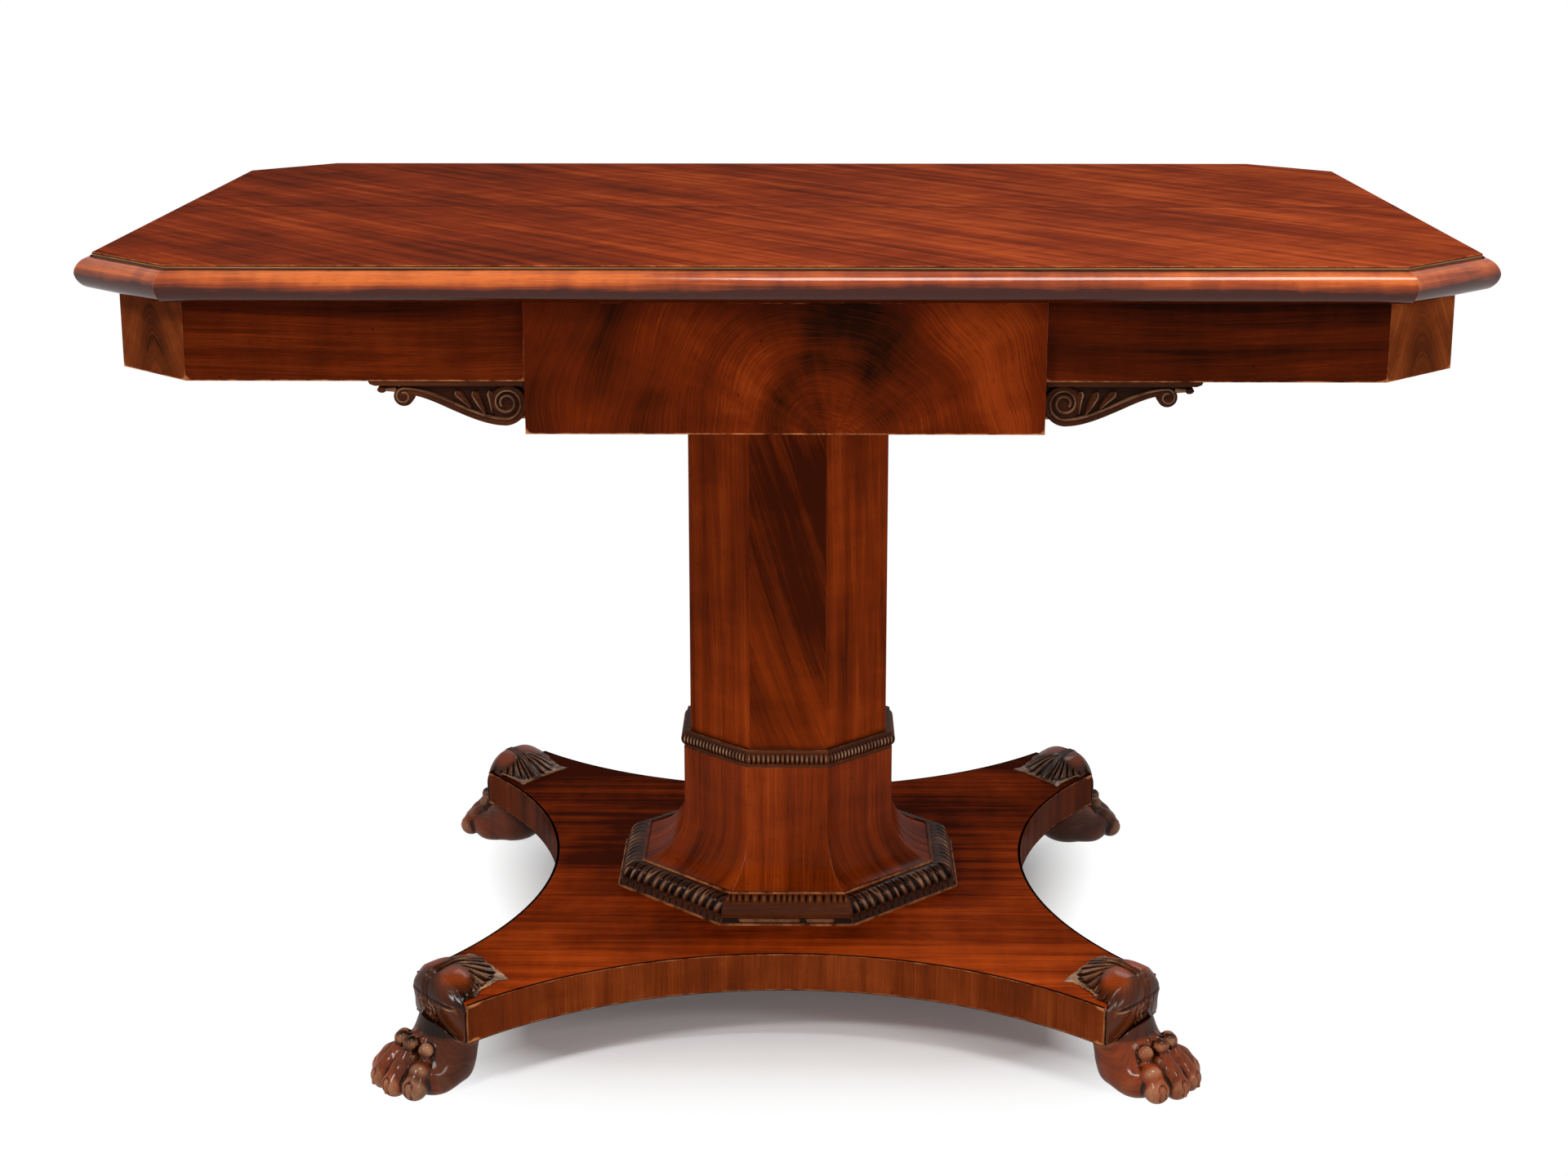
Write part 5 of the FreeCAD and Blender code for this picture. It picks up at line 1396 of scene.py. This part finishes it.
# Lobes of the leaf: tail, the point it bends towards, head and half width
LOBES = [((27.5, 27.0), (27.0, 16.0), (29.0, 8.8), 3.6), ((33.0, 28.0), (38.5, 18.0), (42.5, 9.0), 4.0),
         ((45.0, 22.5), (51.0, 15.0), (57.5, 8.8), 3.8)]


def spiral(centre, radius, turns, start, shrink, count):
    """A scroll that starts at an angle from straight right, runs clockwise as seen and shrinks by a share
    each turn."""
    turn = np.linspace(0, turns, count)
    angle = start + 2 * math.pi * turn
    return centre + (radius * shrink ** turn)[:, None] * np.column_stack([np.cos(angle), np.sin(angle)])


def disc(centre, radius, count):
    """A circle as an open loop, so without its first point again at its end."""
    return spiral(centre, radius, 1.0, 0.0, 1.0, count)[:-1]


def scroll_line():
    """The raised line of a bracket: from the eye of the volute out, and along an S to the small curl."""
    volute = spiral(VOLUTE_CENTRE, VOLUTE_RADIUS, VOLUTE_TURNS, math.pi / 2, 0.56, VOLUTE_STEPS)[::-1]
    curl = spiral(CURL_CENTRE, CURL_RADIUS, CURL_TURNS, -math.pi / 2, 0.5, VOLUTE_STEPS // 2)
    share = np.linspace(0, 1, VOLUTE_STEPS)[1:-1]
    sway = volute[-1] + (curl[0] - volute[-1]) * np.column_stack([share, smooth(0, 1, share)])
    return np.concatenate([volute, sway, curl])


def path_normals(path):
    """Unit directions across a path in the bracket's plane."""
    ahead = np.gradient(path, axis=0)
    ahead /= np.linalg.norm(ahead, axis=1, keepdims=True)
    return np.column_stack([-ahead[:, 1], ahead[:, 0]])


def raised(path, half_widths, base, height, crown):
    """A carved line with closed ends: across the path it is as wide as given and rises from its base by a
    height that falls off to its sides by the power crown. Its back is flat."""
    across = np.linspace(-1, 1, 11)
    rise = height * np.maximum(1 - np.abs(across) ** crown, 0) ** 0.5
    front = np.column_stack([across, base + rise])
    back = np.array([(1.0, 0.0), (-1.0, 0.0)])
    section = np.concatenate([front, back])
    aside = section[None, :, :1] * half_widths[:, None, None]
    plan = path[:, None, :] + path_normals(path)[:, None, :] * aside
    depth = np.broadcast_to(section[None, :, 1:], plan.shape[:2] + (1,))
    return capped(np.concatenate([plan, depth], axis=-1), True)


def plate(outline, depth, edge):
    """A flat plate on the bracket's plane: its outline at the back and the front, drawn in at the front
    edge."""
    middle = np.broadcast_to(outline.mean(axis=0), outline.shape)
    inner = outline + (middle - outline) * edge
    return closed(stacked([(middle, 0.0), (outline, 0.0), (outline, depth - 0.8), (inner, depth),
                           (middle, depth)]))


class DressBrackets(bpy.types.Operator):
    """Carves the four scroll brackets beside the drawer front and its blind twin"""

    bl_idname = "centre_table.dress_brackets"
    bl_label = "Scroll Brackets"

    def execute(self, context):
        material = wood("waxed_carved_bracket", "moulding", Figure(6.0, 90, 0.8, 0.45, 0.8, 0.2),
                        Polish(0.4, 0.09, 0.2), rubbing_highlight=0.6)
        grids = self.bracket_grids()
        reach, back, level = bracket_low[0], bracket_high[1], bracket_high[2]
        places = {"front_right": (1, 0), "front_left": (-1, 0), "rear_left": (1, 180),
                  "rear_right": (-1, 180)}
        for seed, (corner, (side, degrees)) in enumerate(places.items()):
            skin = Skin()
            for grid, relief in grids:
                u, w, d = grid[..., 0], grid[..., 1], grid[..., 2]
                placed = np.stack([side * (reach + u), back - d, level - w], axis=-1)
                skin.add(turned(placed, degrees), u + 171.0 * seed, w + d + 77.0 * seed, relief=relief)
            skin.piece(f"{corner}_carved_bracket", material, [f"{corner}_scroll_bracket"],
                       crease=45)
        return {"FINISHED"}

    def bracket_grids(self):
        """The grids of one bracket with how far each stands out of the carving: strip, ground, the discs of
        the volute and the curl, band, raised line, lobes with their rims, stalk and bead."""
        line = scroll_line()
        step = np.linspace(0, 1, len(line))
        volute_end = VOLUTE_STEPS / len(line)
        band_width = np.interp(step, [0, volute_end * 0.45, volute_end, 0.62, 0.80, 1.0],
                               [2.0, 2.2, 5.2, 5.4, 4.6, 2.0])
        band_path = line + path_normals(line) * (band_width * 0.5)[:, None]
        ridge_half = np.full(len(line), in_mm(sizes().ridge))
        end = bracket_high[0] - bracket_low[0]
        strip = polyline([(0, 0), (end, 0), (end - 1.2, 2.6), (end - 5, BRACKET_STRIP), (0, BRACKET_STRIP),
                          (0, 0)], 6.0)[:-1]
        sway = line[(step > volute_end) & (step < 0.78)]
        round_volute = spiral(VOLUTE_CENTRE, 17.5, 0.35, 2.4, 1.0, 14)[::-1]
        ground = np.concatenate([[(0.4, 0.5), (0.4, 31.0)], round_volute, sway[::6] + np.array([0.0, 3.4]),
                                 [(99.0, 9.0), (99.0, 0.5)]])
        grids = [(plate(strip, BRACKET_DEPTH - 0.4, 0.012), 0.1),
                 (plate(ground, BRACKET_GROUND, 0.01), -0.42),
                 (plate(disc(VOLUTE_CENTRE, 15.0, 48), 13.0, 0.04), -0.15),
                 (plate(disc(CURL_CENTRE, 8.4, 32), 14.2, 0.06), -0.05),
                 (raised(band_path, band_width * 0.62, 13.4, 1.4, 6.0), 0.0),
                 (raised(line, ridge_half, 14.6, 2.2, 2.0), 0.55)]
        share = np.linspace(0, 1, 26)
        for tail, bend, head, width in LOBES:
            weights = np.stack([(1 - share) ** 2, 2 * share * (1 - share), share ** 2], axis=-1)
            path = weights @ np.array([tail, bend, head])
            half = width * np.sqrt(np.clip(share, 0.02, 1)) * np.sqrt(np.clip((1 - share) * 6, 0.03, 1))
            rim = path + path_normals(path) * (half * 0.75)[:, None]
            grids.append((raised(path, half, 11.0, 4.2, 3.0), 0.12))
            grids.append((raised(rim, half * 0.2 + 0.25, 13.0, 2.9, 2.0), 0.7))
        stalk = np.column_stack([np.linspace(107.0, 119.5, 12), np.linspace(7.6, 7.8, 12)])
        grids.append((raised(stalk, np.linspace(2.6, 1.4, 12), 12.0, 3.2, 2.0), 0.6))
        bead = np.column_stack([np.linspace(115.8, 122.8, 14), np.full(14, 7.9)])
        bead_half = 3.4 * np.sqrt(np.clip(1 - np.linspace(-0.98, 0.98, 14) ** 2, 0, 1))
        grids.append((raised(bead, bead_half, 10.0, 6.0, 2.0), 0.05))
        return grids


# The carcase that is seen only from below or with the drawer open

class DressCarcase(bpy.types.Operator):
    """Finishes the bare pine and the ironwork inside the table"""

    bl_idname = "centre_table.dress_carcase"
    bl_label = "Carcase"

    def execute(self, context):
        plain = Figure(2.4, 42, 0.9, 0.4, 0.6, 0.1)
        bare = Polish(0.66, 0.0, 0.3)
        across = wood("bare_pine_across", "pine", plain, bare, turn=0)
        deep = wood("bare_pine_deep", "pine", plain, bare, turn=90)
        finish_nodes(across, "top_core", "rail_glue_blocks", "column_foot_block", "column_head_block")
        finish_nodes(deep, "left_cross_bearer", "right_cross_bearer", "left_drawer_runner",
                     "right_drawer_runner", "head_plank")
        iron = metal("dull_wrought_iron", finishes().iron, 0.6)
        finish_nodes(iron, "iron_tie_rod", "tie_rod_nuts_and_washers")
        finish_nodes(metal("dull_screw_steel", finishes().steel, 0.45), "bearer_screws")
        return {"FINISHED"}


# The stage

CAMERA_PLACE = (0.0185, -2.5453, 1.0574)
CAMERA_PITCH, CAMERA_YAW = 0.260, 0.009
CAMERA_LENS, SENSOR_WIDTH = 60.51, 36.0
AMBIENT_LIGHT = 0.40
FLOOR_HALF = 60.0
# Distances from the table's middle between which the floor turns plain white to the camera, and the share of
# white it has before that
FLOOR_NEAR, FLOOR_FAR, FLOOR_WHITE = 0.29, 0.40, 0.08
# Lamps: place, aim, width, depth and power in watts
LAMPS = {
    "key_softbox": ((-1.7, -2.2, 2.5), (0.0, 0.0, 0.45), 0.7, 0.5, 38.0),
    "fill_softbox": ((2.1, -2.3, 1.7), (0.0, 0.0, 0.4), 0.8, 0.6, 18.0),
    "overhead_softbox": ((0.43, -0.85, 2.6), (0.2, -0.3, 0.74), 1.2, 0.55, 36.0),
    "rear_softbox": ((0.6, 2.6, 2.2), (0.0, 0.0, 0.4), 1.4, 1.0, 16.0),
}


class SetStage(bpy.types.Operator):
    """Sets the floor, the light and the camera"""

    bl_idname = "centre_table.set_stage"
    bl_label = "Stage"

    def execute(self, context):
        scene = context.scene
        scene.view_settings.view_transform = "Standard"
        self.lay_floor(scene)
        self.light_world(scene)
        self.hang_lamps(scene)
        self.stand_camera(scene)
        return {"FINISHED"}

    def lay_floor(self, scene):
        """A pale floor. The camera sees plain white on it far from the table, and the shadow near it. Far is
        measured on squares with round corners, and grows faster to the left and right."""
        mesh = bpy.data.meshes.new("floor")
        half = FLOOR_HALF
        corners = [(-half, -half, 0), (half, -half, 0), (half, half, 0), (-half, half, 0)]
        mesh.from_pydata(corners, [], [(0, 1, 2, 3)])
        material, graph = new_material("pale_floor")
        place = graph.add("ShaderNodeTexCoord", output=3)
        speckle = graph.noise(place, (9.0, 9.0, 9.0), 4.0)
        pale = linear(finishes().floor)
        tint = graph.mix(graph.span(speckle, 0.3, 0.7), pale, tuple(0.97 * c for c in pale[:3]) + (1.0,))
        matte = graph.add("ShaderNodeBsdfDiffuse", {"Color": tint})
        white = graph.add("ShaderNodeEmission", {"Color": (1.0, 1.0, 1.0, 1.0), "Strength": 1.0})
        spans = [graph.math("ABSOLUTE", graph.add("ShaderNodeSeparateXYZ", {0: place}, output=axis))
                 for axis in (0, 1)]
        powers = [graph.math("POWER", span, 4.0) for span in spans]
        distance = graph.math("POWER", graph.math("ADD", *powers), 0.25)
        beside = graph.math("MAXIMUM", graph.math("SUBTRACT", *spans), 0.0)
        distance = graph.math("ADD", distance, graph.math("MULTIPLY", beside, 0.4))
        far = graph.span(distance, FLOOR_NEAR, FLOOR_FAR, FLOOR_WHITE, 1.0)
        far = graph.math("MULTIPLY", far, graph.seen_rays())
        shader = graph.add("ShaderNodeMixShader", {0: far, 1: matte, 2: white})
        graph.add("ShaderNodeOutputMaterial", {"Surface": shader})
        mesh.materials.append(material)
        floor = bpy.data.objects.new("floor", mesh)
        scene.collection.objects.link(floor)

    def light_world(self, scene):
        """White to the camera and to reflections, a soft grey light to everything else."""
        world = bpy.data.worlds.new("studio")
        world.use_nodes = True
        graph = Graph(world.node_tree)
        strength = graph.span(graph.seen_rays(), 0.0, 1.0, AMBIENT_LIGHT, 1.0)
        sky = graph.add("ShaderNodeBackground", {"Color": (1.0, 1.0, 1.0, 1.0), "Strength": strength})
        graph.add("ShaderNodeOutputWorld", {"Surface": sky})
        scene.world = world

    def hang_lamps(self, scene):
        """Flat lamps, each turned to its aim."""
        for name, (place, aim, width, depth, power) in LAMPS.items():
            lamp = bpy.data.lights.new(name, "AREA")
            lamp.shape = "RECTANGLE"
            lamp.size, lamp.size_y, lamp.energy = width, depth, power
            item = bpy.data.objects.new(name, lamp)
            item.location = place
            ahead = Vector(aim) - Vector(place)
            item.rotation_euler = ahead.to_track_quat("-Z", "Y").to_euler()
            scene.collection.objects.link(item)

    def stand_camera(self, scene):
        """The camera at the photograph's view."""
        camera = bpy.data.cameras.new("camera")
        camera.sensor_fit, camera.sensor_width = "HORIZONTAL", SENSOR_WIDTH
        camera.lens = CAMERA_LENS
        camera.clip_end = 200.0
        item = bpy.data.objects.new("camera", camera)
        item.location = CAMERA_PLACE
        item.rotation_euler = (math.pi / 2 - CAMERA_PITCH, 0.0, CAMERA_YAW)
        scene.collection.objects.link(item)
        scene.camera = item


# The add-on

OPERATORS = (DressTop, DressNosing, DressApron, DressDrawer, DressColumn, DressMouldings, DressPlatform,
             DressFeet, DressBrackets, DressCarcase, SetStage)


class CentreTablePanel(bpy.types.Panel):
    """Lists the pieces of the centre table with its sizes and colours"""

    bl_idname = "VIEW3D_PT_centre_table"
    bl_label = "Centre Table"
    bl_space_type = "VIEW_3D"
    bl_region_type = "UI"
    bl_category = "Centre Table"

    def draw(self, context):
        for operator in OPERATORS:
            self.layout.operator(operator.bl_idname)
        for group in (sizes(), finishes()):
            for name in group.__annotations__:
                self.layout.prop(group, name)


CLASSES = (TableSizes, TableFinishes, *OPERATORS, CentreTablePanel)


def register():
    for item in CLASSES:
        bpy.utils.register_class(item)
    bpy.types.Scene.centre_table_sizes = PointerProperty(type=TableSizes)
    bpy.types.Scene.centre_table_finishes = PointerProperty(type=TableFinishes)


def unregister():
    del bpy.types.Scene.centre_table_finishes
    del bpy.types.Scene.centre_table_sizes
    for item in reversed(CLASSES):
        bpy.utils.unregister_class(item)


def main():
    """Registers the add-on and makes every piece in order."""
    register()
    bpy.ops.centre_table.dress_top()
    bpy.ops.centre_table.dress_nosing()
    bpy.ops.centre_table.dress_apron()
    bpy.ops.centre_table.dress_drawer()
    bpy.ops.centre_table.dress_column()
    bpy.ops.centre_table.dress_mouldings()
    bpy.ops.centre_table.dress_platform()
    bpy.ops.centre_table.dress_feet()
    bpy.ops.centre_table.dress_brackets()
    bpy.ops.centre_table.dress_carcase()
    bpy.ops.centre_table.set_stage()


if __name__ == "__main__":
    main()
